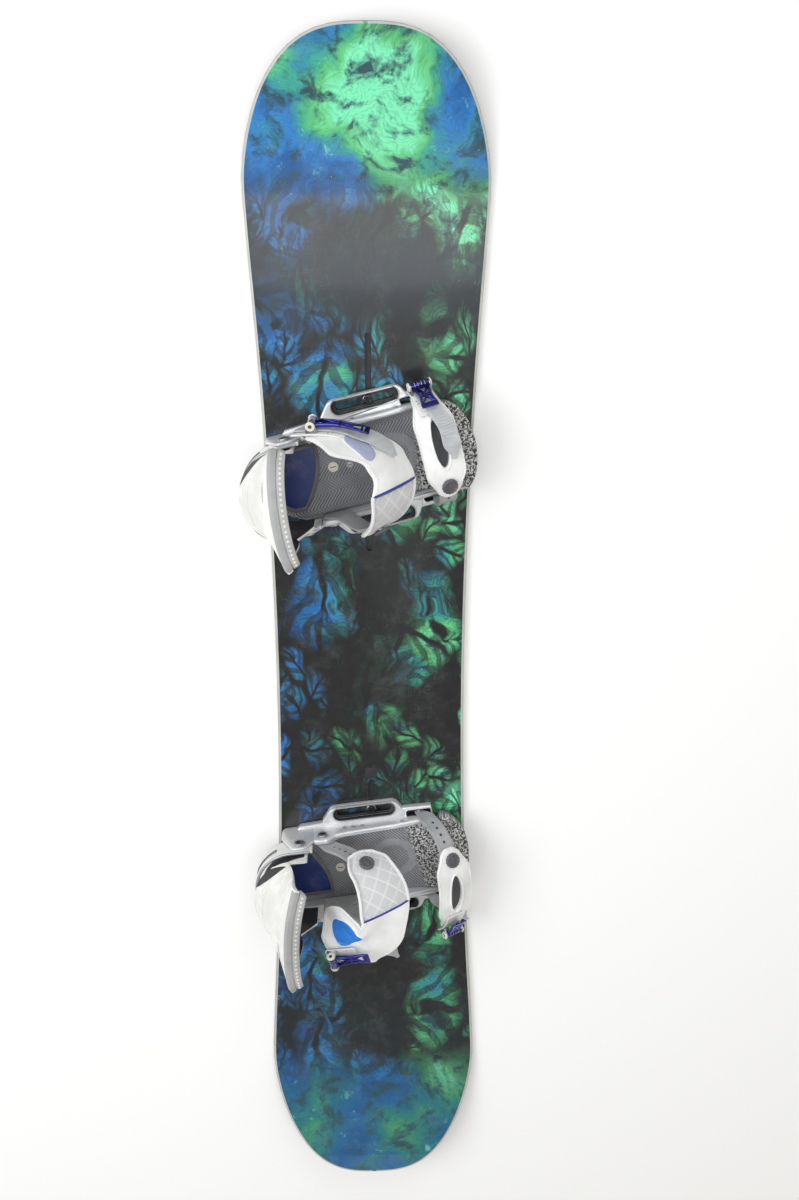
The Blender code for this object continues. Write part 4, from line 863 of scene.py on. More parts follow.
def printed_topsheet():
    """A generic print under gloss: watercolour tips, with etched leaves and hill lines between them."""
    made = Finish("topsheet_print", (0.02, 0.02, 0.025), 0.16,
                  coat_weight=0.10, coat_roughness=0.05, specular_ior_level=0.28)
    place = made.place()
    x, y, z = made.parts(place)
    flat = made.joined(x, y, 0.0)
    swirl = made.noise(flat, 7.0, 3.0, 0.55, out=1)
    wander = made.shift("MULTIPLY_ADD", swirl, (0.10, 0.10, 0.0), flat)
    run = made.scaled(y, 1 / BOARD_LENGTH, 0.5)

    tips = made.most(made.step(run, 0.125, 0.055), made.step(run, 0.865, 0.915))
    lean = made.times(x, made.scaled(tips, -0.9, 1.6))
    cloud = made.noise(wander, 8.5, 5.0, 0.56)
    wash = made.plus(made.scaled(cloud, 1.35, -0.17), lean)
    patch = made.shift("DISTANCE", wander, (0.060, 0.768, 0.0), out=1)
    wash = made.scaled(made.step(patch, 0.10, 0.02), 0.42, wash)
    wash = made.scaled(tips, -0.06, wash)
    colour = made.ramp(wash, [
        (0.22, (0.018, 0.115, 0.34)), (0.36, (0.034, 0.205, 0.54)), (0.46, (0.045, 0.270, 0.38)),
        (0.55, (0.060, 0.400, 0.27)), (0.64, (0.130, 0.560, 0.21)), (0.76, (0.205, 0.820, 0.46)),
    ])
    deep = made.mix(0.55, colour, (0.010, 0.055, 0.085))
    colour = made.mix(made.step(run, 0.150, 0.060), colour, deep)
    bloom = made.noise(wander, 31.0, 6.0, 0.66)
    colour = made.mix(made.step(bloom, 0.52, 0.36), colour, (0.030, 0.085, 0.105))
    colour = made.mix(made.step(bloom, 0.60, 0.78), colour, (0.30, 0.80, 0.62))

    cover = made.ramp(run, [(at, (c, c, c)) for at, c in (
        (0.0, 1.0), (0.075, 0.95), (0.12, 0.62), (0.20, 0.42), (0.34, 0.64), (0.44, 0.62), (0.50, 0.48),
        (0.58, 0.64), (0.70, 0.88), (0.755, 0.92), (0.79, 0.62), (0.83, 0.22), (0.875, 0.60), (0.90, 0.92),
        (1.0, 1.0),
    )])
    sides = made.step(made.sum("ABSOLUTE", x), 0.015, 0.125)
    cover = made.plus(cover, made.scaled(sides, 0.58, -0.19))
    patches = made.noise(wander, 12.0, 5.0, 0.60)
    shown = made.plus(made.scaled(patches, 2.2, -1.1), made.scaled(cover, 1.7, -0.50))
    shown = made.step(shown, 0.04, 0.60)

    small = leaf_etching(made, wander, 30.0, (1.0, 0.62, 1.0), 0.4)
    large = leaf_etching(made, made.shift("ADD", wander, (0.37, 0.11, 0.0)), 13.0, (1.0, 0.55, 1.0), 1.9)
    leaves = made.most(large, made.times(small, 0.85))
    level = made.times(made.noise(wander, 9.0, 4.0, 0.5), 46.0)
    hills = made.step(made.sum("PINGPONG", level, 0.5), 0.06, 0.22)
    leaves = made.times(leaves, made.scaled(hills, 0.45, 0.55))
    plain = made.scaled(hills, 0.16, 0.84)
    etched = made.lay("ShaderNodeMix", {0: tips, 2: leaves, 3: plain}).outputs[0]

    ridge = made.noise(made.joined(x, 0.7, 0.0), 17.0, 6.0, 0.62)
    below = made.minus(made.scaled(ridge, 0.17, 0.475), y)
    slope = made.noise(made.shift("MULTIPLY", flat, (1.0, 0.25, 1.0)), 150.0, 4.0, 0.7)
    scree = made.step(made.plus(slope, made.times(below, 5.0)), 0.48, 0.62)
    hill = made.times(made.step(below, -0.001, 0.001), made.times(scree, made.step(y, 0.43, 0.50)))
    past_shore = made.minus(y, made.scaled(ridge, 0.15, -0.690))
    shore = made.times(made.step(past_shore, -0.001, 0.001), made.step(y, -0.46, -0.56))
    dark = made.most(made.times(hill, 0.80), made.times(shore, made.times(scree, 0.4)))

    ground = made.mix(made.noise(flat, 60.0, 4.0), (0.012, 0.013, 0.013), (0.027, 0.028, 0.027))
    faint = made.times(leaves, made.scaled(patches, 0.5, -0.10, clamp=True))
    ground = made.mix(faint, ground, (0.060, 0.120, 0.085))
    ink = made.mix(made.times(shown, etched), ground, colour)
    ink = made.mix(dark, ink, (0.022, 0.030, 0.038))
    flecks = made.times(made.step(made.noise(flat, 300.0, 2.0, 0.6), 0.71, 0.76), tips)
    ink = made.mix(made.times(flecks, 0.5), ink, (0.45, 0.85, 0.70))
    scuffs = made.group(SCUFFS, Place=place, Scale=34.0, Amount=0.16)[0]
    dust = made.group(DUST, Place=place, Amount=0.05)[0]
    ink = made.mix(scuffs, ink, (0.30, 0.31, 0.33))
    made.paint(made.mix(dust, ink, (0.45, 0.46, 0.47)))
    made.rough(made.scaled(scuffs, 0.4, made.scaled(patches, 0.10, 0.14)))
    made.bump(made.minus(made.noise(place, 90.0, 2.0), scuffs), 0.00004, 0.6)
    return made.material


def ribbed_footbed():
    """Grey foam with ribs, and a speckled print over the toe."""
    made = Finish("footbed_foam", (0.16, 0.16, 0.17), 0.75)
    place = made.place()
    rib, zone, spare = made.parts(made.uv("mark"))
    faded = made.step(made.noise(place, 28.0, 4.0, 0.6), 0.3, 0.7)
    groove = made.mix(faded, (0.060, 0.062, 0.070), (0.090, 0.092, 0.100))
    crest = made.mix(faded, (0.36, 0.365, 0.39), (0.48, 0.485, 0.51))
    foam = made.mix(rib, groove, crest)
    blotch = made.noise(made.uv("flat"), 330.0, 3.0, 0.70, 0.8)
    speck = made.mix(made.step(blotch, 0.47, 0.56), (0.030, 0.030, 0.033), (0.66, 0.66, 0.64))
    made.paint(made.mix(zone, foam, speck))
    grain, tone = made.group(GRAIN, Place=place, Scale=1400.0)[:]
    made.rough(made.scaled(tone, 0.2, 0.62))
    made.bump(grain, 0.00006)
    return made.material


def cloudy(name, colour, roughness, through):
    """Cloudy clear plastic, with flow lines and scuffs."""
    made = Finish(name, colour, roughness, transmission_weight=through, ior=1.46)
    place = made.place()
    flow = made.noise(made.shift("MULTIPLY", place, (1.0, 3.0, 1.0)), 45.0, 4.0, 0.6, 0.8)
    scuffs = made.group(SCUFFS, Place=place, Amount=0.5)[0]
    base = made.mix(made.step(flow, 0.3, 0.7), shade(colour, 0.84), colour)
    made.paint(made.mix(scuffs, base, (0.75, 0.75, 0.75)))
    made.rough(made.scaled(flow, 0.2, roughness - 0.1))
    made.bump(flow, 0.00006)
    return made.material


WHITE_NYLON = moulded("white_nylon", (0.80, 0.79, 0.76), 0.27, wear=0.25, coat_weight=0.15)
SILVER_TRIM = moulded("silver_trim", (0.42, 0.43, 0.45), 0.30, metallic=0.55, scuff=0.5, dust=0.08)
# Black rubber. The same black also serves as painted shade in the ear slots and recesses, the slider holes,
# and inside and low on the highback shell.
BLACK_RUBBER_AND_PAINTED_SHADE = moulded("black_rubber_and_painted_shade", (0.022, 0.022, 0.024), 0.55, dust=0.10)
DARK_NYLON = moulded("dark_nylon", (0.050, 0.051, 0.056), 0.42)
KNOB_GREY = moulded("knob_grey", (0.095, 0.095, 0.105), 0.40)
BASE_NYLON = moulded("base_nylon", (0.72, 0.72, 0.735), 0.25, metallic=0.30, scuff=0.45, coat_weight=0.25)
RIM_GREY = moulded("rim_grey", (0.36, 0.36, 0.36), 0.46, grain=700.0, depth=0.00005, dust=0.20)
PAD_RIM = moulded("pad_rim", (0.43, 0.425, 0.41), 0.60, grain=1300.0, depth=0.00006, dust=0.20)
PAD_STUD = moulded("pad_stud", (0.74, 0.735, 0.72), 0.45)
FOAM_LINING = moulded("foam_lining", (0.15, 0.15, 0.16), 0.8, grain=1600.0, depth=0.00006, scuff=0.0)
PAD_CLOTH = woven("pad_cloth", (0.55, 0.55, 0.55), 1100.0)
HEEL_GEL = moulded("heel_gel", (0.008, 0.026, 0.165), 0.40, grain=500.0, depth=0.00004, dust=0.10, wear=0.0)
HEEL_BORDER = moulded("heel_border", (0.15, 0.145, 0.14), 0.6, grain=1300.0, depth=0.00006)
STRAP_WHITE = moulded(
    "strap_white", (0.91, 0.905, 0.89), 0.40, grain=1500.0, depth=0.00005, scuff=0.25, dust=0.10, wear=0.2
)
QUILT_CLOTH = woven("quilt_cloth", (0.72, 0.72, 0.73), 1300.0, layer="flat", seam=(0.90, 0.90, 0.89))
# A dark woven sheet that fills the toe strap's window: painted shade.
WINDOW_SHADE_SHEET = woven("window_shade_sheet", (0.050, 0.052, 0.056), 700.0, roughness=0.55)
EDGE_TAPE = woven("edge_tape", (0.87, 0.87, 0.865), 900.0)
THREAD = woven("thread", (0.72, 0.72, 0.71), 3000.0)
PIPING_BLUE = woven("piping_blue", (0.020, 0.035, 0.28), 1500.0)
INSERT_BLUE = moulded("insert_blue", (0.020, 0.21, 0.70), 0.38, grain=1100.0, depth=0.00005, scuff=0.15)
INSERT_PALE = moulded("insert_pale", (0.40, 0.43, 0.60), 0.34, grain=1100.0, depth=0.00005, scuff=0.15)
CLEAR_LADDER = cloudy("clear_ladder", (0.56, 0.57, 0.585), 0.36, 0.12)
CLEAR_SLIDER = cloudy("clear_slider", (0.46, 0.465, 0.475), 0.40, 0.10)
LEVER_VIOLET = brushed("lever_violet", (0.070, 0.068, 0.33), 0.16)
BUCKLE_SILVER = brushed("buckle_silver", (0.52, 0.53, 0.55), 0.24)
BOLT_STEEL = brushed("bolt_steel", (0.55, 0.55, 0.56), 0.26)
SCREW_BLACK = brushed("screw_black", (0.05, 0.05, 0.055), 0.36)
BRASS = brushed("brass", (0.62, 0.47, 0.20), 0.30)
CREAM = moulded("cream_cap", (0.80, 0.76, 0.66), 0.32)
SIDE_WALL = moulded("side_wall", (0.50, 0.50, 0.46), 0.42, scuff=0.7, dust=0.05)
EDGE_STEEL = brushed("edge_steel", (0.52, 0.52, 0.53), 0.30, 0.8)
RUNNING_BASE = moulded("running_base", (0.030, 0.031, 0.034), 0.38, scuff=0.8)
TOPSHEET = printed_topsheet()
FOOTBED = ribbed_footbed()


def half_width(y):
    """Half the board's width at a distance from its middle."""
    reach = abs(y)
    side = WAIST / 2 + (WIDEST - WAIST) / 2 * (reach / WIDEST_AT) ** 2
    t = min(1.0, max(0.0, (reach - WIDEST_AT) / (HALF_BOARD - WIDEST_AT)))
    tip = WIDEST / 2 * (1 - t ** TIP_POWER) ** (1 / TIP_ROUND)
    near = max(SHOULDER_BLEND - abs(side - tip), 0.0) / SHOULDER_BLEND
    return min(side, tip) - near * near * SHOULDER_BLEND / 4


def tip_rise(y):
    t = max(0.0, (abs(y) - TIP_START) / (HALF_BOARD - TIP_START))
    return TIP_RISE * t * t


def core_top(y):
    thin = soft_step((abs(y) - CORE_THIN_FROM) / (HALF_BOARD - CORE_THIN_FROM))
    return CORE_LOW + CORE_THICK * (1 - (1 - CORE_TIP_SHARE) * thin)


def outline_rows():
    """Places along the board with its half width and the way square to its outline."""
    line = [WIDEST_AT * (2 * i / 60 - 1) for i in range(61)]
    tip = []
    for i in range(1, 49):
        share = math.cos(math.radians(89.0 * i / 48))
        reach = (1 - share ** TIP_ROUND) ** (1 / TIP_POWER)
        tip.append(WIDEST_AT + (HALF_BOARD - WIDEST_AT) * reach)
    line = [-y for y in reversed(tip)] + line + tip
    rows = [Vector((y, half_width(y))) for y in line]
    ends = [Vector((rows[0].x, -rows[0].y))] + rows + [Vector((rows[-1].x, -rows[-1].y))]
    ways = [(after - before).normalized() for before, after in zip(ends, ends[2:])]
    return list(zip(rows, ways))


def make_board():
    """The topsheet with its bevelled side wall, and finishes for what the frame already shapes."""
    sheet = Blank()
    insets = (TOP_INSET, TOP_INSET, TOP_INSET + BEVEL_WIDE, TOP_INSET + BEVEL_WIDE + 0.0004)
    rings = []
    for here, way in outline_rows():
        low = tip_rise(here.x) + core_top(here.x) + GAP
        heights = (low, low + 0.0001, low + TOP_THICK - 0.0001, low + TOP_THICK)
        bevel = zip(insets, heights)
        side = [Vector((here.y - way.x * inset, here.x + way.y * inset, z)) for inset, z in bevel]
        rings.append([Vector((-p.x, p.y, p.z)) for p in side] + side[::-1])
    sheet.loft(rings)
    wide = len(rings[0])
    walls = (0, 1, 5, 6)  # the bevels among the faces round the board
    for n, face in enumerate(sheet.faces):
        if len(face) == 4 and n % wide in walls:
            sheet.finishes[n] = 1
    top = set_on("topsheet_sheet", sheet, [TOPSHEET, SIDE_WALL], "board", sharp=60)
    for end in (1, -1):
        slot = Blank()
        middle = end * (CHANNEL_INNER + CHANNEL_LENGTH / 2)
        line = [(-y, x + middle) for x, y in capsule(CHANNEL_LENGTH, SLOT_WIDTH)]
        slot.slab([line], CORE_LOW, BOARD_TOP + 0.002, 0.0001)
        cutter = set_on("slot_cutter", slot, [SIDE_WALL], "board")
        modifier = top.modifiers.new("Slot", "BOOLEAN")
        modifier.operation = "DIFFERENCE"
        modifier.solver = "EXACT"
        modifier.object = cutter
        bpy.context.view_layer.update()
        shape = top.evaluated_get(bpy.context.evaluated_depsgraph_get())
        mesh = bpy.data.meshes.new_from_object(shape)
        top.modifiers.clear()
        mesh.set_sharp_from_angle(angle=math.radians(35))
        top.data = mesh
        bpy.data.objects.remove(cutter)
    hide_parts("topsheet")
    plain = {
        "board_base": RUNNING_BASE, "steel_edge": EDGE_STEEL, "board_core": SIDE_WALL,
        "front_channel": BLACK_RUBBER_AND_PAINTED_SHADE, "rear_channel": BLACK_RUBBER_AND_PAINTED_SHADE,
    }
    for node, finish in plain.items():
        repaint(node, finish)

    plug = Blank()
    steps = ((0.008, 0.002, 0.0, 0.0007, 0.0004), (0.005, 0.0015, 0.0005, 0.0011, 0.0003))
    for half, radius, low, high, over in steps:
        line = rounded(oblong(-half, half, PLUG_AT - half, PLUG_AT + half), radius)
        plug.slab([line], BOARD_TOP + low, BOARD_TOP + high, over)
    set_on("channel_plug", plug, [BLACK_RUBBER_AND_PAINTED_SHADE], "board")


def repaint(node, finish):
    """A better finish on a node that stays as the frame shapes it."""
    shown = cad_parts[node]
    shown.data.materials.clear()
    shown.data.materials.append(finish)


class Binding:
    """One binding's names, its place on the board and the state of its straps."""

    def __init__(self, label, at, angle, twist, side, closed):
        self.label = label
        self.angle = angle
        self.at = at
        self.twist = twist
        self.closed = closed
        turn = Matrix.Rotation(math.radians(angle), 4, "Z")
        self.fit = Matrix.Translation((0, at, BOARD_TOP)) @ turn @ Matrix.Diagonal((1, side, 1, 1))

    def set_on(self, name, blank, finishes, body, stands_for=(), **options):
        name, body, *nodes = (f"{self.label}_{word}" for word in (name, body, *stands_for))
        return set_on(name, blank, finishes, body, self.fit, nodes, **options)


def make_base(binding):
    """Floor, rails, cheeks, and ears with slots, moulded as one frame."""
    base = Blank()
    heel, toe, wide = FLOOR_HEEL, FLOOR_TOE - 0.0005, RAIL_OUTER - 0.003
    floor = rounded([(heel, wide), (heel, -wide), (toe, -wide), (toe, wide)], 0.030)
    middle = rounded([(-0.064, 0.036), (-0.064, -0.036), (0.060, -0.036), (0.060, 0.036)], 0.014)
    base.slab([floor, middle], GAP, FLOOR_TOP, 0.0012)
    rail = [
        (FLOOR_TOE, GAP), (FLOOR_TOE, TOE_Z + 0.010), (TOE_X + 0.006, TOE_Z + 0.015), (0.040, 0.029),
        (0.000, 0.032), (-0.028, 0.034), (ANKLE_X + 0.016, ANKLE_Z + 0.002),
        (ANKLE_X + 0.006, ANKLE_Z + 0.012), (RAIL_REAR, ANKLE_Z + 0.012), (RAIL_REAR, GAP),
    ]
    cheek = [
        (RAIL_REAR + 0.002, GAP), (RAIL_REAR + 0.002, ANKLE_Z + 0.010), (PIVOT_X + 0.008, CHEEK_TOP),
        (PIVOT_X - 0.010, CHEEK_TOP), (CHEEK_REAR, 0.030), (CHEEK_REAR, GAP),
    ]
    crest = [(-0.070, 0.0478), (-0.052, 0.0478), (-0.040, 0.0380), (-0.028, 0.0340), (0.0, 0.0320),
             (0.040, 0.0290), (0.078, 0.0226), (0.090, 0.0178)]
    crest_y = RAIL_INNER + 0.0022
    slot_rear = TOE_X - TOE_SLOT_REACH
    slot_out = RAIL_OUTER + TOE_SLOT_WIDTH
    toe_slot = rounded(oblong(slot_rear, TOE_X + TOE_SLOT_REACH, RAIL_OUTER + 0.0005, slot_out), 0.002)
    cheek_low = RAIL_INNER + HOOP_THICK + GAP
    shelf = EAR_TOP - RECESS_DEPTH
    longer = EAR_SLOT_LENGTH + RECESS_WIDTH - EAR_SLOT_WIDTH
    for way, slot_at in ((1, 0.014), (-1, -0.001)):
        mirror = Matrix.Diagonal((1, way, 1, 1))
        base.slab([rounded(rail, 0.006)], RAIL_INNER, RAIL_OUTER, 0.0026, mirror @ UPRIGHT)
        base.slab([rounded(cheek, 0.009)], cheek_low, RAIL_OUTER - 0.0001, 0.0014, mirror @ UPRIGHT)
        first = slot_at - EAR_SLOT_LENGTH / 2
        last = slot_at + EAR_SLOT_LENGTH / 2
        flange = [
            (CHEEK_REAR + 0.018, RAIL_OUTER - 0.003), (CHEEK_REAR + 0.026, RAIL_OUTER + 0.004),
            (first - 0.004, RAIL_OUTER + 0.0068), (last - 0.005, RAIL_OUTER + 0.0068),
            (last + 0.0010, RAIL_OUTER + 0.0088), (last + 0.0050, RAIL_OUTER + 0.0145),
            (FLOOR_TOE - 0.002, RAIL_OUTER + 0.0130), (FLOOR_TOE - 0.001, RAIL_OUTER - 0.003),
        ]
        # Painted shade: the walls of the toe slot here, and of the ear slot and recess below, take black.
        base.slab([rounded(flange, 0.0016), toe_slot], GAP, EAR_TOP - 0.0010, 0.0018, mirror, hole_shade_finish=1)
        ear = rounded([
            (first - 0.030, RAIL_OUTER - 0.003), (first - 0.007, EAR_REACH), (last + 0.007, EAR_REACH),
            (last + 0.024, RAIL_OUTER - 0.003),
        ], 0.013, 10)
        inset = [(x, max(y, slot_out) if x > slot_rear else y) for x, y in ear]
        slot = capsule(EAR_SLOT_LENGTH, EAR_SLOT_WIDTH, (slot_at, EAR_SLOT_AT))
        recess = capsule(longer, RECESS_WIDTH, (slot_at, EAR_SLOT_AT))
        # A thin black ring on the recess shelf round the slot: painted shade.
        recess_shade_ring = capsule(longer, RECESS_WIDTH - 0.0002, (slot_at, EAR_SLOT_AT))
        base.slab([inset, slot], GAP, shelf, 0.0004, mirror, hole_shade_finish=1)
        base.slab([inset, recess], shelf - 0.0006, EAR_TOP, 0.0016, mirror, hole_shade_finish=1)
        base.slab([recess_shade_ring, slot], shelf - 0.0003, shelf + 0.00025, 0.0001, mirror, finish=1, hole_shade_finish=1)
        rim = drawn_left(turned_way(recess, False), 0.0022)
        rim = [mirror @ Vector((x, y, EAR_TOP - 0.0003)) for x, y in rim]
        base.tube(rim, 0.0009, 8, back=True, finish=2)
        ridge = [mirror @ Vector((x, crest_y, z - 0.0006)) for x, z in crest]
        base.tube(ridge, 0.0011, 8, finish=2, taper=True)
        for x in (-0.030, -0.018, -0.006, 0.050):
            base.turn(RAIL_POST, 16, mirror @ sideways(x, RAIL_OUTER, 0.022), finish=2)
    binding.set_on("base_moulding", base, [BASE_NYLON, BLACK_RUBBER_AND_PAINTED_SHADE, SILVER_TRIM], "base", ["base_frame"])


def hoop_place(share, offset):
    """A point of the hoop's plan, from one arm's end round to the other's."""
    straight = abs(HOOP_TURN - (RAIL_REAR - 0.0006))
    half = RAIL_INNER + HOOP_THICK / 2
    bow = math.pi * math.sqrt((half * half + HOOP_BOW * HOOP_BOW) / 2)
    walk = share * (2 * straight + bow)
    if walk < straight:
        return Vector((RAIL_REAR - 0.0006 - walk, half + offset))
    if walk > straight + bow:
        return Vector((HOOP_TURN + walk - straight - bow, -half - offset))
    angle = (walk - straight) / bow * math.pi
    return Vector((HOOP_TURN - (HOOP_BOW + offset) * math.sin(angle), (half + offset) * math.cos(angle)))


def hoop_point(share, up, offset):
    at = hoop_place(share, offset)
    back = soft_step((HOOP_TURN + 0.016 - hoop_place(share, 0).x) / 0.060)
    bottom = HOOP_LOW + (HOOP_REAR_LOW - HOOP_LOW) * back
    top = HOOP_HIGH + (HOOP_REAR_HIGH - HOOP_HIGH) * back
    return Vector((at.x, at.y, bottom + (top - bottom) * up))


def hoop_strip(blank, first, last, low, high, thick, rows):
    """A stretch of the hoop with rounded edges."""
    section = strip_section(0.5, 0.0, 1.0, 0.09, 0.0, 2)
    middle = (low + high) / 2
    blank.loft([
        [hoop_point(share, middle + a * (high - low), (lift - 0.5) * thick) for a, lift in section]
        for share in spread(first, last, rows)
    ])


def make_hoop(binding):
    """The bow round the heel with a long slot on either side, silver beads and rivets."""
    hoop = Blank()
    skin = HOOP_THICK / 2
    slot_low, slot_high, slot_long = 0.42, 0.60, 0.18
    hoop_strip(hoop, 0.0, 1.0, 0.0, slot_low, HOOP_THICK, 90)
    hoop_strip(hoop, 0.0, 1.0, slot_high, 1.0, HOOP_THICK, 90)
    for first, last in ((0.0, 0.22), (0.40, 0.60), (0.78, 1.0)):
        hoop_strip(hoop, first, last, 0.36, 0.66, HOOP_THICK - 0.0002, 22)
    for up in (0.985, 0.015):
        line = [hoop_point(share, up, 0.0) for share in spread(0.01, 0.99, 90)]
        hoop.tube(line, 0.0021, 10, finish=1, taper=True)
    for first in (0.22, 0.60):
        shares = spread(first, first + slot_long, 40)
        around = [hoop_point(share, slot_low, skin) for share in shares]
        around += [hoop_point(share, slot_high, skin) for share in reversed(shares)]
        hoop.tube(around, 0.0006, 6, back=True, finish=2)
    up = Vector((0, 0, 1))
    for share in (0.05, 0.10, 0.14, 0.86, 0.90, 0.95):
        here = hoop_point(share, 0.5, skin)
        out = (here - hoop_point(share, 0.5, 0.0)).normalized()
        hoop.turn(HOOP_RIVET, 18, axes_at(here, up.cross(out), up, out), finish=1)
    binding.set_on("hoop_bow", hoop, [WHITE_NYLON, SILVER_TRIM, BLACK_RUBBER_AND_PAINTED_SHADE], "base", ["heel_hoop"])


def back_point(level, side, twist):
    """The middle of the highback's shell: level is the height behind, side runs from -1 to 1."""
    stops = ((BACK_FOOT_Z, BACK_FOOT_X), (BACK_NECK_Z, BACK_FOOT_X), (BACK_HEEL_Z, BACK_HEEL_X),
             (BACK_TOP_Z, BACK_TOP_X))
    middle = stops[-1][1]
    if level <= BACK_FOOT_Z:
        middle = BACK_FOOT_X
    else:
        for (z0, x0), (z1, x1) in zip(stops, stops[1:]):
            if z0 < level <= z1:
                middle = x0 + (x1 - x0) * (level - z0) / (z1 - z0)
    half = table((BACK_NECK_Z, BACK_FOOT_HALF), (BACK_HEEL_Z, BACK_HEEL_HALF), (BACK_TOP_Z, BACK_TOP_HALF))
    depth = table((BACK_NECK_Z, BACK_FOOT_DEPTH), (BACK_HEEL_Z, BACK_HEEL_DEPTH),
                  (BACK_TOP_Z, BACK_TOP_DEPTH))
    high = max(0.0, (level - BACK_HEEL_Z) / (BACK_TOP_Z - BACK_HEEL_Z))
    wide = math.radians(89 - 44 * soft_step(high))
    angle = side * wide
    y = half(level) * math.sin(angle) / math.sin(wide)
    x = middle + depth(level) * (1 - math.cos(angle)) / (1 - math.cos(wide))
    x += y * math.sin(math.radians(twist)) * soft_step(high / 0.8)
    drop = 0.009 * abs(side) ** 5 * high ** 3
    foot = 0.004 * side * side * max(0.0, 1 - (level - BACK_FOOT_Z) / (BACK_NECK_Z - BACK_FOOT_Z))
    return Vector((x, y + BACK_SHIFT * high, level - drop - foot))


def back_place(level, side, depth, twist):
    """A point off the shell's middle, inward by a depth."""
    step = 0.0015
    up = back_point(level + step, side, twist) - back_point(level - step, side, twist)
    ahead = back_point(level, min(1, side + 0.01), twist)
    behind = back_point(level, max(-1, side - 0.01), twist)
    inward = (ahead - behind).cross(up).normalized()
    return back_point(level, side, twist) + inward * depth


def shell_half(level):
    rim = soft_step((level - BACK_TOP_Z + 0.030) / 0.030)
    return (BACK_THICK + (BACK_RIM - BACK_THICK) * rim) / 2


def flank_shade_groove(t, way):
    """The side, level and half height of a black groove in the highback's flank, painted shade of the gap by
    the hoop, at a share of its length.
    """
    swell = math.sin(math.pi * t)
    return way * (0.30 + 0.62 * t), 0.0925 + 0.0025 * swell + 0.0105 * t, 0.0085 * max(0.05, swell) ** 0.6


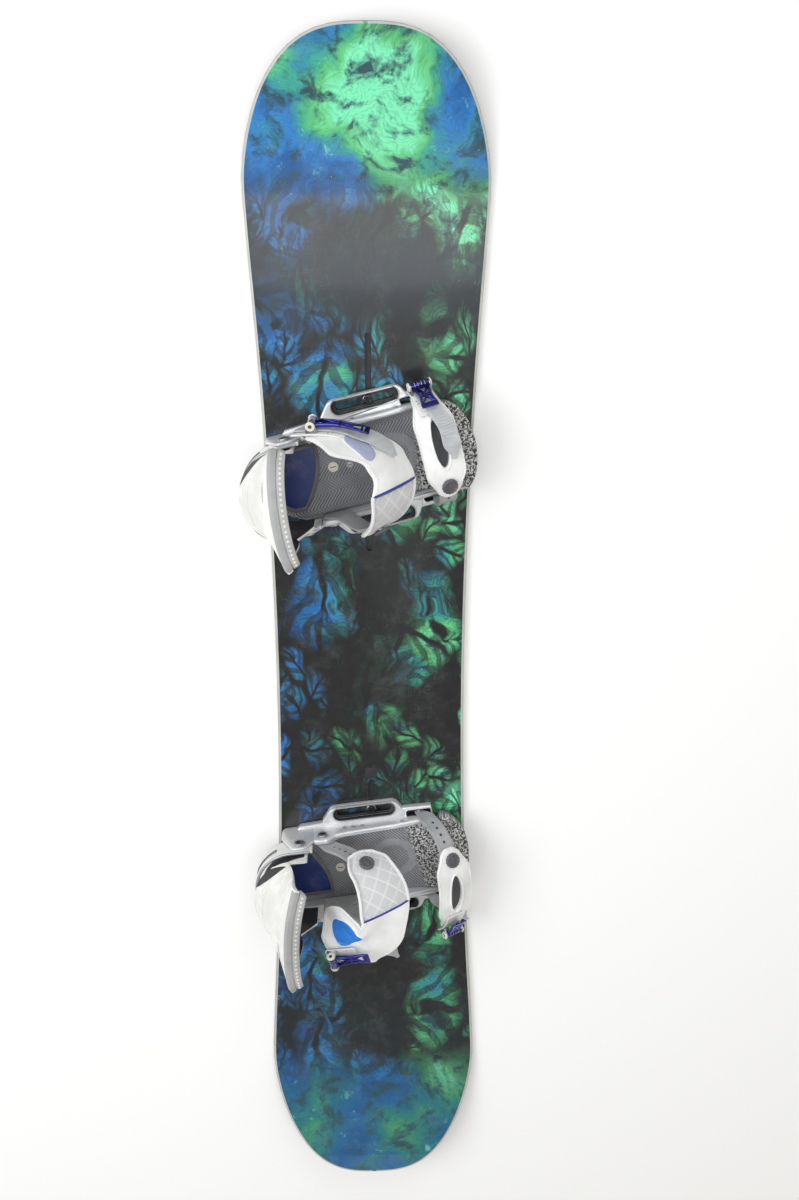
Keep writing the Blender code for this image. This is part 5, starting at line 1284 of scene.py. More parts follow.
def make_highback(binding):
    """The shell behind the leg with its grey rim, its pad with a row of studs, and the lean stop."""
    twist = binding.twist
    columns, rows = 56, 60

    def level_at(q):
        return BACK_FOOT_Z + (BACK_TOP_Z - BACK_FOOT_Z) * q

    def place(p, q, outer):
        level = level_at(q)
        half = shell_half(level)
        return back_place(level, 2 * p - 1, -half if outer else half, twist)

    def skin(level, side, off):
        return back_place(level, side, -shell_half(level) - off, twist)

    shell = Blank()
    shell.sheet(columns, rows, place)
    # Painted shade: the shell's inner faces, and a strip low on its outer flanks, take black.
    for n in range(2 * columns * rows):
        side = abs(2 * (n % columns + 0.5) / columns - 1)
        inside = n >= columns * rows
        if inside or level_at((n // columns + 0.5) / rows) < FLANK_SHADE_TOP and 0.18 < side < 0.95:
            shell.finishes[n] = 2
    # Black grooves along both flanks, edged with white beads: painted shade of the gap between hoop and
    # shell.
    for way in (1, -1):
        slot = [flank_shade_groove(t, way) for t in spread(0.0, 1.0, 32)]
        rings = []
        for side, level, wide in slot:
            row = [(k, -0.0002 if abs(k) == 10 else 0.0004) for k in range(-10, 11)] + [(0, -0.0012)]
            rings.append([skin(level + wide * k / 10, side, off) for k, off in row])
        shell.loft(rings, finish=2)
        for edge in (1.15, -1.15):
            bead = [skin(level + edge * wide, side, 0.0) for side, level, wide in slot]
            shell.tube(bead, 0.0006, 8, taper=True)
    slit = []
    section = ((-1.0, -0.0002), (-0.8, 0.0003), (0.8, 0.0003), (1.0, -0.0002), (0.0, -0.0012))
    for t in spread(0.0, 1.0, 12):
        wide = 0.0022 * max(0.08, math.sin(math.pi * t)) ** 0.5
        slit.append([skin(0.166 + wide * a, 0.14 + 0.30 * t, off) for a, off in section])
    shell.loft(slit, finish=1)
    line = [skin(BACK_HEEL_Z + 0.024, side, 0.0) for side in spread(-0.93, 0.93, 60)]
    shell.tube(line, 0.0011, 8, taper=True)
    binding.set_on("highback_shell", shell, [WHITE_NYLON, RIM_GREY, BLACK_RUBBER_AND_PAINTED_SHADE, SILVER_TRIM], "highback",
                   ["highback"], soften=0.0011)

    pad_low = BACK_HEEL_Z + 0.14 * (BACK_TOP_Z - BACK_HEEL_Z)

    def pad_place(p, q, outer):
        level = pad_low + (BACK_TOP_Z - pad_low) * q
        side = (2 * p - 1) * 10 / 12
        near = shell_half(level) + PAD_GAP
        soft = (PAD_THICK - 0.0012) * (1 - 0.45 * abs(2 * p - 1) ** 4) * (1 - 0.4 * (1 - q) ** 4)
        return back_place(level, side, near if outer else near + soft, twist)

    pad = Blank()
    wide, tall = 64, 40
    pad.sheet(wide, tall, pad_place)
    made = binding.set_on("highback_cushion", pad, [PAD_CLOTH], "highback", ["highback_pad"], sharp=70)
    held = pinned(wide, tall, 0, lambda i, j: i % 16 == 0 or j in (0, tall // 2, tall))
    to_fill.append((made, held, 3.0, 0.0018))

    rim = Blank()
    top = BACK_TOP_Z

    def rim_place(side, depth, up):
        rise = (back_point(top, side, twist) - back_point(top - 0.004, side, twist)).normalized()
        return back_place(top, side, depth, twist) + rise * up

    outer_edge = -BACK_RIM / 2 - 0.0008
    seam = BACK_RIM / 2 + 0.0012
    inner_edge = seam + PAD_THICK + 0.0012
    strips = ((outer_edge, seam, -0.0075, 0.0012, 0), (seam + 0.0004, inner_edge, -0.0085, 0.0016, 1))
    for first, last, low, high, paint in strips:
        rings = []
        for t in spread(-1, 1, 90):
            ends = math.sqrt(max(0.0, 1 - max(0.0, (abs(t) - 0.92) / 0.08) ** 2))
            half = (last - first) / 2 * (1 - 0.75 * (1 - ends))
            section = strip_section(half, low, high - 0.0030 * (1 - ends), 0.0016, 0.0, 4)
            rings.append([rim_place(t * 0.992, (first + last) / 2 + a, up) for a, up in section])
        rim.loft(rings, finish=paint)
    for side in spread(-0.90, 0.90, 23):
        here = rim_place(side, (seam + inner_edge) / 2 - 0.0006, 0.0015)
        out = (rim_place(side, 0.004, 0.002) - rim_place(side, 0.004, 0.0)).normalized()
        axis = out.orthogonal().normalized()
        rim.turn(RIM_STUD, 12, axes_at(here, axis, out.cross(axis), out), finish=2)
    binding.set_on("highback_rim", rim, [RIM_GREY, PAD_RIM, PAD_STUD], "highback")

    low = HOOP_REAR_HIGH + GAP
    shin = BACK_FOOT_X - BACK_THICK / 2 - GAP
    rear = HOOP_TURN - HOOP_BOW
    high = low + LEAN_HIGH
    stop = Blank()
    line = [(shin, low), (shin, high), (shin - 0.003, high), (rear, low + 0.005), (rear, low)]
    stop.slab([line], -LEAN_HALF, LEAN_HALF, 0.0007, UPRIGHT)
    for y in spread(-0.0085, 0.0085, 5):
        stop.tube([(shin - 0.0028, y, high), (rear + 0.0005, y, low + 0.0056)], 0.0005, 6)
    binding.set_on("lean_block", stop, [KNOB_GREY], "lean_stop", ["lean_stop"])


def bed_top(x, y):
    """The footbed's upper surface."""
    ramp = BED_RAMP * soft_step((x - 0.050) / 0.072)
    nose = 0.010 * max(0.0, (x - 0.118) / (BED_TOE - 0.118)) ** 2
    cup = 0.0040 * soft_step((-0.060 - x) / 0.050) * min(1.0, abs(y) / RAIL_INNER) ** 3
    return FLOOR_TOP + GAP + BED_THICK + ramp - nose + cup


def bed_half(x):
    """Half the footbed's width along the foot."""
    half = RAIL_INNER - 2 * GAP
    heel_turn = BED_HEEL + 0.046
    toe_turn = 0.104
    if x < heel_turn:
        return (half - 0.001) * math.sqrt(max(0.0, 1 - ((heel_turn - x) / (heel_turn - BED_HEEL)) ** 2))
    if x < FLOOR_TOE + 0.001:
        return half - 0.001 + 0.001 * soft_step((x - heel_turn) / 0.03)
    if x < toe_turn:
        return half + (BED_TOE_HALF - half) * soft_step((x - FLOOR_TOE - 0.001) / 0.009)
    return BED_TOE_HALF * math.sqrt(max(0.0, 1 - ((x - toe_turn) / (BED_TOE - toe_turn)) ** 2))


def bed_pattern(x, y):
    """How high a rib stands, and how far the toe print covers, at a place on the footbed."""
    zig = abs((y / 0.034 + 0.25) % 1.0 - 0.5) * 2
    rib = 0.5 + 0.5 * math.cos(2 * math.pi * (x + 0.016 * zig) / 0.0044)
    reach = math.hypot((x - 0.030) / 0.034, y / 0.030)
    ring = soft_step((reach - 0.62) / 0.05) * soft_step((1.02 - reach) / 0.05)
    ring *= soft_step((x - 0.004) / 0.006)
    rib = rib * (1 - ring) + 0.72 * ring
    toe = soft_step((x - 0.056 - 0.20 * y) / 0.012)
    return rib, toe


def make_footbed(binding):
    """The ribbed sole with its speckled toe ramp, and the heel pad on it."""
    rings = []
    marks = []
    columns = 84
    count = 250
    for j in range(count + 1):
        x = BED_HEEL + (BED_TOE - BED_HEEL) * (0.5 - 0.5 * math.cos(math.pi * (0.012 + 0.976 * j / count)))
        half = max(0.003, bed_half(x))
        shift = BED_TOE_SHIFT * soft_step((x - FLOOR_TOE - 0.001) / 0.010)
        under = FLOOR_TOP + GAP + 0.008 * soft_step((x - FLOOR_TOE - 0.001) / 0.030)
        ring = []
        for share in spread(-1, 1, columns):
            y = share * half + shift
            rib, toe = bed_pattern(x, y)
            edge = soft_step((1 - abs(share)) * half / 0.002)
            lift = (RIB_HIGH * (rib - 1) * (1 - toe)) * edge - 0.0012 * (1 - edge)
            ring.append(Vector((x, y, bed_top(x, y) + lift)))
            marks.append((rib, toe))
        rings.append(ring + [Vector((x, half + shift, under)), Vector((x, -half + shift, under))])
        marks += [(0.0, 0.0), (0.0, 0.0)]
    bed = Blank()
    bed.loft(rings)
    bed.marks = dict(enumerate(marks))
    bed.flats = [[(bed.points[c].x, bed.points[c].y) for c in face] for face in bed.faces]
    binding.set_on("footbed_sole", bed, [FOOTBED], "base", ["footbed"], sharp=70)

    def pad_place(p, q, outer):
        y = -0.036 + 0.074 * p
        rear = BED_HEEL + 0.008 + 0.030 * abs(y / 0.040) ** 2.6
        front = -0.078 + 0.42 * y + 0.009 * (1 - (y / 0.038) ** 2)
        x = rear + (front - rear) * q
        z = bed_top(x, y) + PAD_GAP
        if outer:
            z += (HEEL_PAD_THICK - 0.0006) * (1 - 0.35 * abs(2 * p - 1) ** 4 - 0.25 * abs(2 * q - 1) ** 4)
        return Vector((x, y, z))

    pad = Blank()
    wide, long = 40, 30
    pad.sheet(wide, long, pad_place)
    made = binding.set_on("heel_cushion", pad, [HEEL_GEL], "base", ["heel_pad"], sharp=70)
    held = pinned(wide, long, 1, lambda i, j: i in (0, wide) or j in (0, long))
    to_fill.append((made, held, 2.0, 0.0012))

    border = Blank()
    loop = [pad_place(i / wide, 0.0, True) for i in range(wide)]
    loop += [pad_place(1.0, i / long, True) for i in range(long)]
    loop += [pad_place(1 - i / wide, 1.0, True) for i in range(wide)]
    loop += [pad_place(0.0, 1 - i / long, True) for i in range(long)]
    heart = ring_middle(loop)
    section = ((-0.0012, 0.0008), (-0.0010, 0.0034), (0.0006, 0.0038), (0.0030, 0.0030), (0.0046, 0.0012),
               (0.0048, -0.0006))
    rings = []
    for p in loop:
        out = Vector((p.x - heart.x, p.y - heart.y, 0.0)).normalized()
        foot = Vector((p.x, p.y, bed_top(p.x, p.y)))
        rings.append([foot + out * reach + Vector((0, 0, lift)) for reach, lift in section])
    border.loft(rings, back=True)
    binding.set_on("heel_border", border, [HEEL_BORDER], "base")

    discs = Blank()
    small = 1 if binding.closed else 3
    for x, y, size, paint in ((-0.045, 0.005, 0.0066, 0), (-0.024, 0.003, 0.0042, small)):
        spot = Matrix.Translation((x, y, bed_top(x, y) - 0.0004))
        profile = [(size, -0.001), (size, 0.0008), (size - 0.0006, 0.0014), (size - 0.0014, 0.0014),
                   (size - 0.0018, 0.0008), (0.0, 0.0009)]
        discs.turn(profile, 32, spot, finish=paint)
        discs.slab([capsule(1.2 * size, 0.0010)], 0.0008, 0.0013, 0.0002, spot, finish=2)
    binding.set_on("bed_discs", discs, [CREAM, SILVER_TRIM, DARK_NYLON, BRASS], "base")


class Strap:
    """The form of one strap along its line: its edges, its lifts and its upper skin."""

    def __init__(self, line, first, last, drift, half, thick, crown):
        self.line = line
        self.first = first
        self.last = last
        self.drift = drift
        self.half = half
        self.low = SLIDER_THICK + GAP
        self.thick = thick
        self.crown = crown
        self.skin = self.low + thick + GAP

    def top(self, s, d, more=0.0):
        """A point on the upper skin, at a length and a drift."""
        across = min(1.0, abs(d - self.drift(s)) / self.half(s))
        lift = self.low + self.thick * (1 - self.crown * across ** CROWN_POWER)
        return self.line.point(s, d, lift + more)

    def edge(self, s, side, inset, more=0.0):
        return self.top(s, self.drift(s) + side * (self.half(s) - inset), more)

    def sewn(self, blank, side, inset, lengths, pitch, finish):
        """Stitches along lengths of the skin, inset from one side."""
        places = [(s, self.drift(s) + side * (self.half(s) - inset)) for s in lengths]
        spots = [self.top(s, d) for s, d in places]
        outs = [(self.top(s, d, 0.002) - p).normalized() for (s, d), p in zip(places, spots)]
        walk = 0.0
        points, ways = [], []
        for (a, b), out in zip(zip(spots, spots[1:]), outs):
            step = (b - a).length
            while walk < step:
                points.append(a.lerp(b, walk / step) + out * 0.0001)
                ways.append(((b - a).normalized(), out))
                walk += pitch
            walk -= step
        blank.stitches(points, ways, pitch * 0.66, 0.00042, finish)


def eased(curve, by):
    """A curve with its corners smoothed over a reach to each side."""
    return lambda s: sum(curve(s + by * k / 4) for k in range(-4, 5)) / 9


def open_ankle_curl(line, first, heel_edge):
    """Let the wide end of a loose ankle strap roll, lean and droop."""
    ease = 0.006
    line.roll = table((first + 0.080, 0.0), (first + 0.150, math.radians(ANKLE_OPEN_ROLL)))
    line.lean = table((first + 0.090, 0.0), (first + 0.150, ANKLE_OPEN_LEAN))
    root = table((first + 0.098, -0.028), (first + 0.145, -0.032), (first + 0.165, -0.054))
    drop = table((first + 0.088, 0.0), (first + 0.110, 0.034), (first + 0.150, 0.034),
                 (first + 0.176, 0.010))
    tuck = table((first + 0.086, 0.0), (first + 0.092, 0.012), (first + 0.104, 0.030),
                 (first + 0.116, 0.028), (first + 0.134, 0.014), (first + 0.148, 0.0))
    drop, tuck = eased(drop, ease), eased(tuck, ease)

    def curl(s, d):
        edge = heel_edge(s - first)
        reach = min(1.0, max(0.0, (root(s) - d) / max(0.004, root(s) - edge)))
        beyond = min(1.0, max(0.0, (-ANKLE_HALF - d) / max(0.003, -ANKLE_HALF - edge)))
        return tuck(s) * beyond, drop(s) * reach ** 1.4

    line.curl = curl


def ankle_strap_form(binding):
    """The line and the form of an ankle strap."""
    tab = RAIL_INNER - GAP - SLIDER_THICK
    high, side, long = ANKLE_HIGH, ANKLE_SIDE, ANKLE_LENGTH
    hinge = Vector((ANKLE_X, 0, ANKLE_Z))
    points = [(-tab, -0.010), (-tab, 0.0), (-tab, 0.022)]
    heel_stops = [(0, -0.009), (0.006, -0.018), (0.022, -0.028), (0.075, -ANKLE_HALF)]
    toe_edge = table((0, 0.015), (0.006, 0.024), (0.022, 0.033), (0.084, ANKLE_HALF),
                     (0.112, ANKLE_HALF - 0.006), (0.150, ARM_HALF - 0.021), (long - 0.016, -0.012),
                     (long, -0.026))
    if binding.closed:
        points += [(-side, 0.052), (-0.055, 0.083), (-0.031, high - 0.007), (0, high), (0.031, high - 0.007)]
        points += [(0.055, 0.084), (side, 0.056), (side + 0.001, 0.036), (side, 0.020)]
        line = StrapLine(hinge, ANKLE_TILT, points, 1)
        first = line.falls_to(ANKLE_END_RISE) - long
        heel_stops += [(0.098, -0.029), (0.114, -0.033), (0.146, -ARM_HALF - 0.037)]
        heel_edge = table(*heel_stops, (long - 0.016, -0.066), (long, -0.054))
    else:
        points += [(-0.050, 0.050, 0.004), (-0.043, 0.086, 0.008), (-0.018, high - 0.002, 0.010)]
        points += [(0.012, high + 0.006, 0.006), (0.042, high + 0.003, 0.0), (0.068, 0.106, -0.008)]
        points += [(0.090, 0.088, -0.014), (0.102, 0.060, -0.016)]
        line = StrapLine(hinge, ANKLE_OPEN_TILT, points, 1)
        first = ANKLE_OPEN_FROM
        heel_stops += [(0.087, -0.0365), (0.092, -0.043), (0.098, -0.052), (0.104, -0.060), (0.110, -0.066)]
        heel_stops += [(0.122, -0.073), (0.134, -0.077), (0.146, -0.079)]
        heel_edge = eased(table(*heel_stops, (long - 0.016, -0.077), (long, -0.065)), 0.006)
        open_ankle_curl(line, first, heel_edge)

    def drift(s):
        return (heel_edge(s - first) + toe_edge(s - first)) / 2

    def half(s):
        near_end = min(1.0, max(0.0, (s - first - long) / 0.018 + 1))
        return (toe_edge(s - first) - heel_edge(s - first)) / 2 * math.sqrt(1 - 0.72 * near_end ** 2)

    return hinge, tab, Strap(line, first, first + long, drift, half, ANKLE_THICK, 0.45)


def make_slider(line, last, half, holes):
    """The clear strip that carries a strap, with its row of holes."""
    strip = Blank()
    strip.band(line, 0.0, last, level_line, half, 0.0, SLIDER_THICK, 0.0008, rows=48, count=4)
    for s in holes:
        spot = line.frame(s, level_line, SLIDER_THICK, False)
        ring = [spot @ Vector((x, y, 0.0001)) for x, y in circle(0.0024, 20)]
        strip.tube(ring, 0.0005, 6, back=True)
        # A black disc in each hole: painted shade.
        strip.turn([(0.0022, -0.0005), (0.0022, 0.00012), (0.0, 0.00012)], 20, spot, finish=1)
    for side in (-1, 1):
        ridge = [line.point(s, side * (half(s) - 0.0022), SLIDER_THICK + 0.0001)
                 for s in spread(0.016, last - 0.004, 40)]
        strip.tube(ridge, 0.0006, 6, taper=True)
    return strip


def quilt_mark(u, v):
    """Closeness, 0 to 1, to a seam of the diamond quilting."""
    pitch = 0.0205
    one = abs(((u + 0.86 * v) / pitch + 0.5) % 1.0 - 0.5) * pitch
    two = abs(((u - 0.86 * v) / pitch + 0.5) % 1.0 - 0.5) * pitch
    return max(0.0, 1 - min(one, two) / 0.0016)


def make_ankle(binding):
    """The ankle strap: clear slider, quilted pad, white arm with blue insert, knob, buckle and ladder."""
    hinge, tab, strap = ankle_strap_form(binding)
    line = strap.line
    first = strap.first
    slide_half = table((0, 0.0035), (0.005, 0.0095), (0.012, 0.0112), (0.034, SLIDER_HALF))
    holes = [first - 0.010 - 0.011 * i for i in range(4)]
    slider = make_slider(line, first + 0.040, slide_half, holes)
    binding.set_on("ankle_slide", slider, [CLEAR_SLIDER, BLACK_RUBBER_AND_PAINTED_SHADE], "ankle", ["ankle_slider"])

    quilt = Blank()
    wide, long = 46, 50
    hem = 0.0008

    def quilt_place(p, q, outer):
        s = first + hem + (QUILT_LONG - hem) * q
        d = strap.drift(s) + (strap.half(s) - 0.0016) * (2 * p - 1)
        return strap.top(s, d, -0.0014) if outer else line.point(s, d, strap.low)

    def on_seam(i, j):
        return quilt.marks[j * (wide + 1) + i][0] > 0.45 or i in (0, wide) or j in (0, long)

    quilt.sheet(wide, long, quilt_place)
    for j in range(long + 1):
        s = QUILT_LONG * j / long
        for i in range(wide + 1):
            v = strap.drift(first + s) + strap.half(first + s) * (2 * i / wide - 1)
            quilt.marks[j * (wide + 1) + i] = (quilt_mark(s, v), 0.0)
    quilt.flats = [[(f[0] * 0.07, f[1] * QUILT_LONG) for f in flats] for flats in quilt.flats]
    made = binding.set_on("ankle_quilt", quilt, [QUILT_CLOTH], "ankle", ["ankle_strap"], sharp=80)
    to_fill.append((made, pinned(wide, long, 1, on_seam), 6.0, 0.0024))

    tape = Blank()
    shares = spread(0.0, 1.0, 40)
    around = [strap.edge(first + QUILT_LONG * (1 - share), -1, 0.0010, -0.0004) for share in shares]
    for i in range(1, 20):
        s = first + hem
        around.append(strap.top(s, strap.drift(s) + (strap.half(s) - 0.001) * (2 * i / 20 - 1), -0.0004))
    around += [strap.edge(first + QUILT_LONG * share, 1, 0.0010, -0.0004) for share in shares]
    tape.tube(around, 0.0022, 10)
    for side in (-1, 1):
        strap.sewn(tape, side, 0.0042, spread(first + 0.006, first + QUILT_LONG - 0.004, 59), 0.0036, 1)
    binding.set_on("ankle_tape", tape, [EDGE_TAPE, THREAD], "ankle")

    arm = Blank()
    begin = first + QUILT_LONG - 0.0006
    arm.band(line, begin, strap.last, strap.drift, strap.half, strap.low + 0.0016,
             strap.low + ANKLE_THICK, 0.0020, strap.crown, rows=84, count=28)
    arm.band(line, begin - 0.0004, strap.last - 0.002, strap.drift, lambda s: strap.half(s) - 0.0024,
             strap.low, strap.low + 0.0024, 0.0007, 0.0, rows=60, count=6, finish=1)
    for side in (-1, 1):
        bead = [strap.edge(s, side, 0.0034, 0.0001) for s in spread(begin + 0.004, strap.last - 0.006, 90)]
        arm.tube(bead, 0.0009, 8, taper=True)
        strap.sewn(arm, side, 0.0060, spread(begin + 0.004, strap.last - 0.012, 89), 0.0040, 2)
    binding.set_on("ankle_arm", arm, [STRAP_WHITE, FOAM_LINING, THREAD], "ankle")

    trim = Blank()
    s = first + QUILT_LONG
    ends = [strap.drift(s) + strap.half(s) * share * 0.985 for share in spread(-1, 1, 30)]
    trim.tube([strap.top(s, d, 0.0001) for d in ends], 0.0019 if binding.closed else 0.0013, 8, taper=True)
    binding.set_on("ankle_piping", trim, [PIPING_BLUE], "ankle")

    insert = Blank()
    if binding.closed:
        middle, off, size, paint = first + 0.136, 0.004, 0.86, INSERT_PALE
    else:
        middle, off, size, paint = first + 0.137, 0.0165, 1.22, INSERT_BLUE
    centre = strap.drift(middle) - off
    lean = 0.42

    def insert_ring(share, lift):
        ring = []
        for x, y in circle(1.0, 56):
            squarer = 1 / (abs(x) ** 2.6 + abs(y) ** 2.6) ** (1 / 2.6)
            a, b = 0.0215 * size * squarer * x, 0.0125 * size * squarer * y
            s = middle + (a * math.cos(lean) - b * math.sin(lean)) * share
            d = centre - (a * math.sin(lean) + b * math.cos(lean)) * share
            ring.append(strap.top(s, d, lift))
        return ring

    domed = ((1.0, -0.0006), (1.0, 0.0004), (0.95, 0.0011), (0.86, 0.0015), (0.6, 0.0019), (0.3, 0.0021))
    insert.loft([insert_ring(share, lift) for share, lift in domed])
    insert.tube(insert_ring(1.06, 0.0002), 0.0009, 8, back=True, finish=1)
    binding.set_on("ankle_insert", insert, [paint, STRAP_WHITE], "ankle")

    make_knob(binding, "ankle", line, first + 0.020, strap.skin)
    buckle_at = strap.last - 0.018
    lead = table((buckle_at - 0.075, 0.012), (buckle_at + 0.030, -0.060))
    lift = strap.skin if binding.closed else strap.skin + FLAT_LIFT
    make_buckle(binding, "ankle", line, buckle_at, lead, lift, LEVER_LONG, binding.closed)

    ladder_lift = strap.skin + PLATE_THICK + LADDER_GAP
    foot = [(tab, -0.010), (tab, 0.0)]
    if binding.closed:
        foot += [(tab, 0.014, -0.006), (0.057, 0.0225, -0.016), (0.070, 0.036, -0.040)]
        for run in (0.018, 0.012, 0.004, -0.004, -0.012, -0.020, -0.028, -0.036, -0.046, -0.056, -0.066):
            spot = line.lifted(buckle_at + run, ladder_lift)
            foot.append((spot.x, spot.y, lead(buckle_at + run)))
    else:
        foot += [(tab, 0.018, 0.004), (0.060, 0.034, 0.012)]
        foot += [(0.088, 0.042, 0.026), (0.122, 0.046, 0.042), (0.150, 0.054, 0.058)]
    ladder_line = StrapLine(hinge, ANKLE_TILT, foot, -1)
    end = ladder_line.total
    half = table(
        (0, 0.0035), (0.005, 0.0085), (0.012, LADDER_HALF), (end - 0.068, LADDER_HALF),
        (end - 0.044, LEAF_HALF), (end - 0.020, LEAF_HALF - 0.003), (end, 0.003),
    )
    body = "ankle" if binding.closed else "ankle_ladder"
    make_ladder(binding, "ankle", ladder_line, half, 0.030, end - 0.062, body)


def make_ladder(binding, name, line, half, teeth_from, teeth_to, body, stud=None):
    """A clear strip with ratchet teeth down its middle and a smooth leaf at its end."""
    strip = Blank()
    runs = [(s, 0.0) for s in spread(0.0, teeth_from, 8)]
    count = int((teeth_to - teeth_from) / TOOTH_PITCH)
    for i in range(count):
        s = teeth_from + TOOTH_PITCH * i
        runs += [(s + 0.0004, 0.0), (s + TOOTH_PITCH * 0.80, 1.0), (s + TOOTH_PITCH * 0.93, 1.0)]
    smooth = teeth_from + TOOTH_PITCH * count
    runs += [(s, 0.0) for s in spread(smooth + 0.0004, line.total, 24)]
    rings = []
    body_high = LADDER_THICK - 0.0010
    for s, tooth in runs:
        h = half(s)
        leaf = soft_step((s - smooth) / 0.020)
        edge = LADDER_THICK - 0.0004 * (1 - leaf) - 0.0006 * leaf
        bed = body_high * (1 - leaf) + (LADDER_THICK - 0.0002) * leaf + 0.0009 * tooth
        section = [
            (-h, 0.0004), (-h, edge - 0.0005), (-h + 0.0006, edge), (-0.66 * h, edge), (-0.58 * h, bed),
            (0.58 * h, bed), (0.66 * h, edge), (h - 0.0006, edge), (h, edge - 0.0005), (h, 0.0004),
            (h - 0.0006, 0.0), (-h + 0.0006, 0.0),
        ]
        rings.append([line.point(s, a, lift) for a, lift in section])
    strip.loft(rings)
    if stud:
        strip.turn(stud, 16, sideways(TOE_X, 0, TOE_Z))
    binding.set_on(f"{name}_teeth", strip, [CLEAR_LADDER], body, [f"{name}_ladder"], sharp=30)


def make_knob(binding, name, line, at, high):
    """A fluted clamp knob with a bar across its dish."""
    place = line.frame(at, level_line, 0.0, False)
    knob = Blank()
    r, top = KNOB_RADIUS, high + KNOB_HIGH
    profile = [
        (0.0, high), (r - 0.0004, high), (r, high + 0.0006), (r, top - 0.0016), (r - 0.0012, top - 0.0003),
        (r - 0.0022, top), (r - 0.0032, top - 0.0001), (r - 0.0040, top - 0.0010), (0.0, top - 0.0011),
    ]
    knob.turn(profile, 84, place, KNOB_FLUTES, 0.07)
    knob.slab([capsule(1.25 * r, 0.0030)], top - 0.0014, top - 0.0002, 0.0006, place)
    knob.turn([(0.0026, 0.0003), (0.0026, high + 0.0002), (0.0, high + 0.0002)], 20, place, finish=1)
    binding.set_on(f"{name}_clamp", knob, [KNOB_GREY, BOLT_STEEL], f"{name}_knob", [f"{name}_knob"])


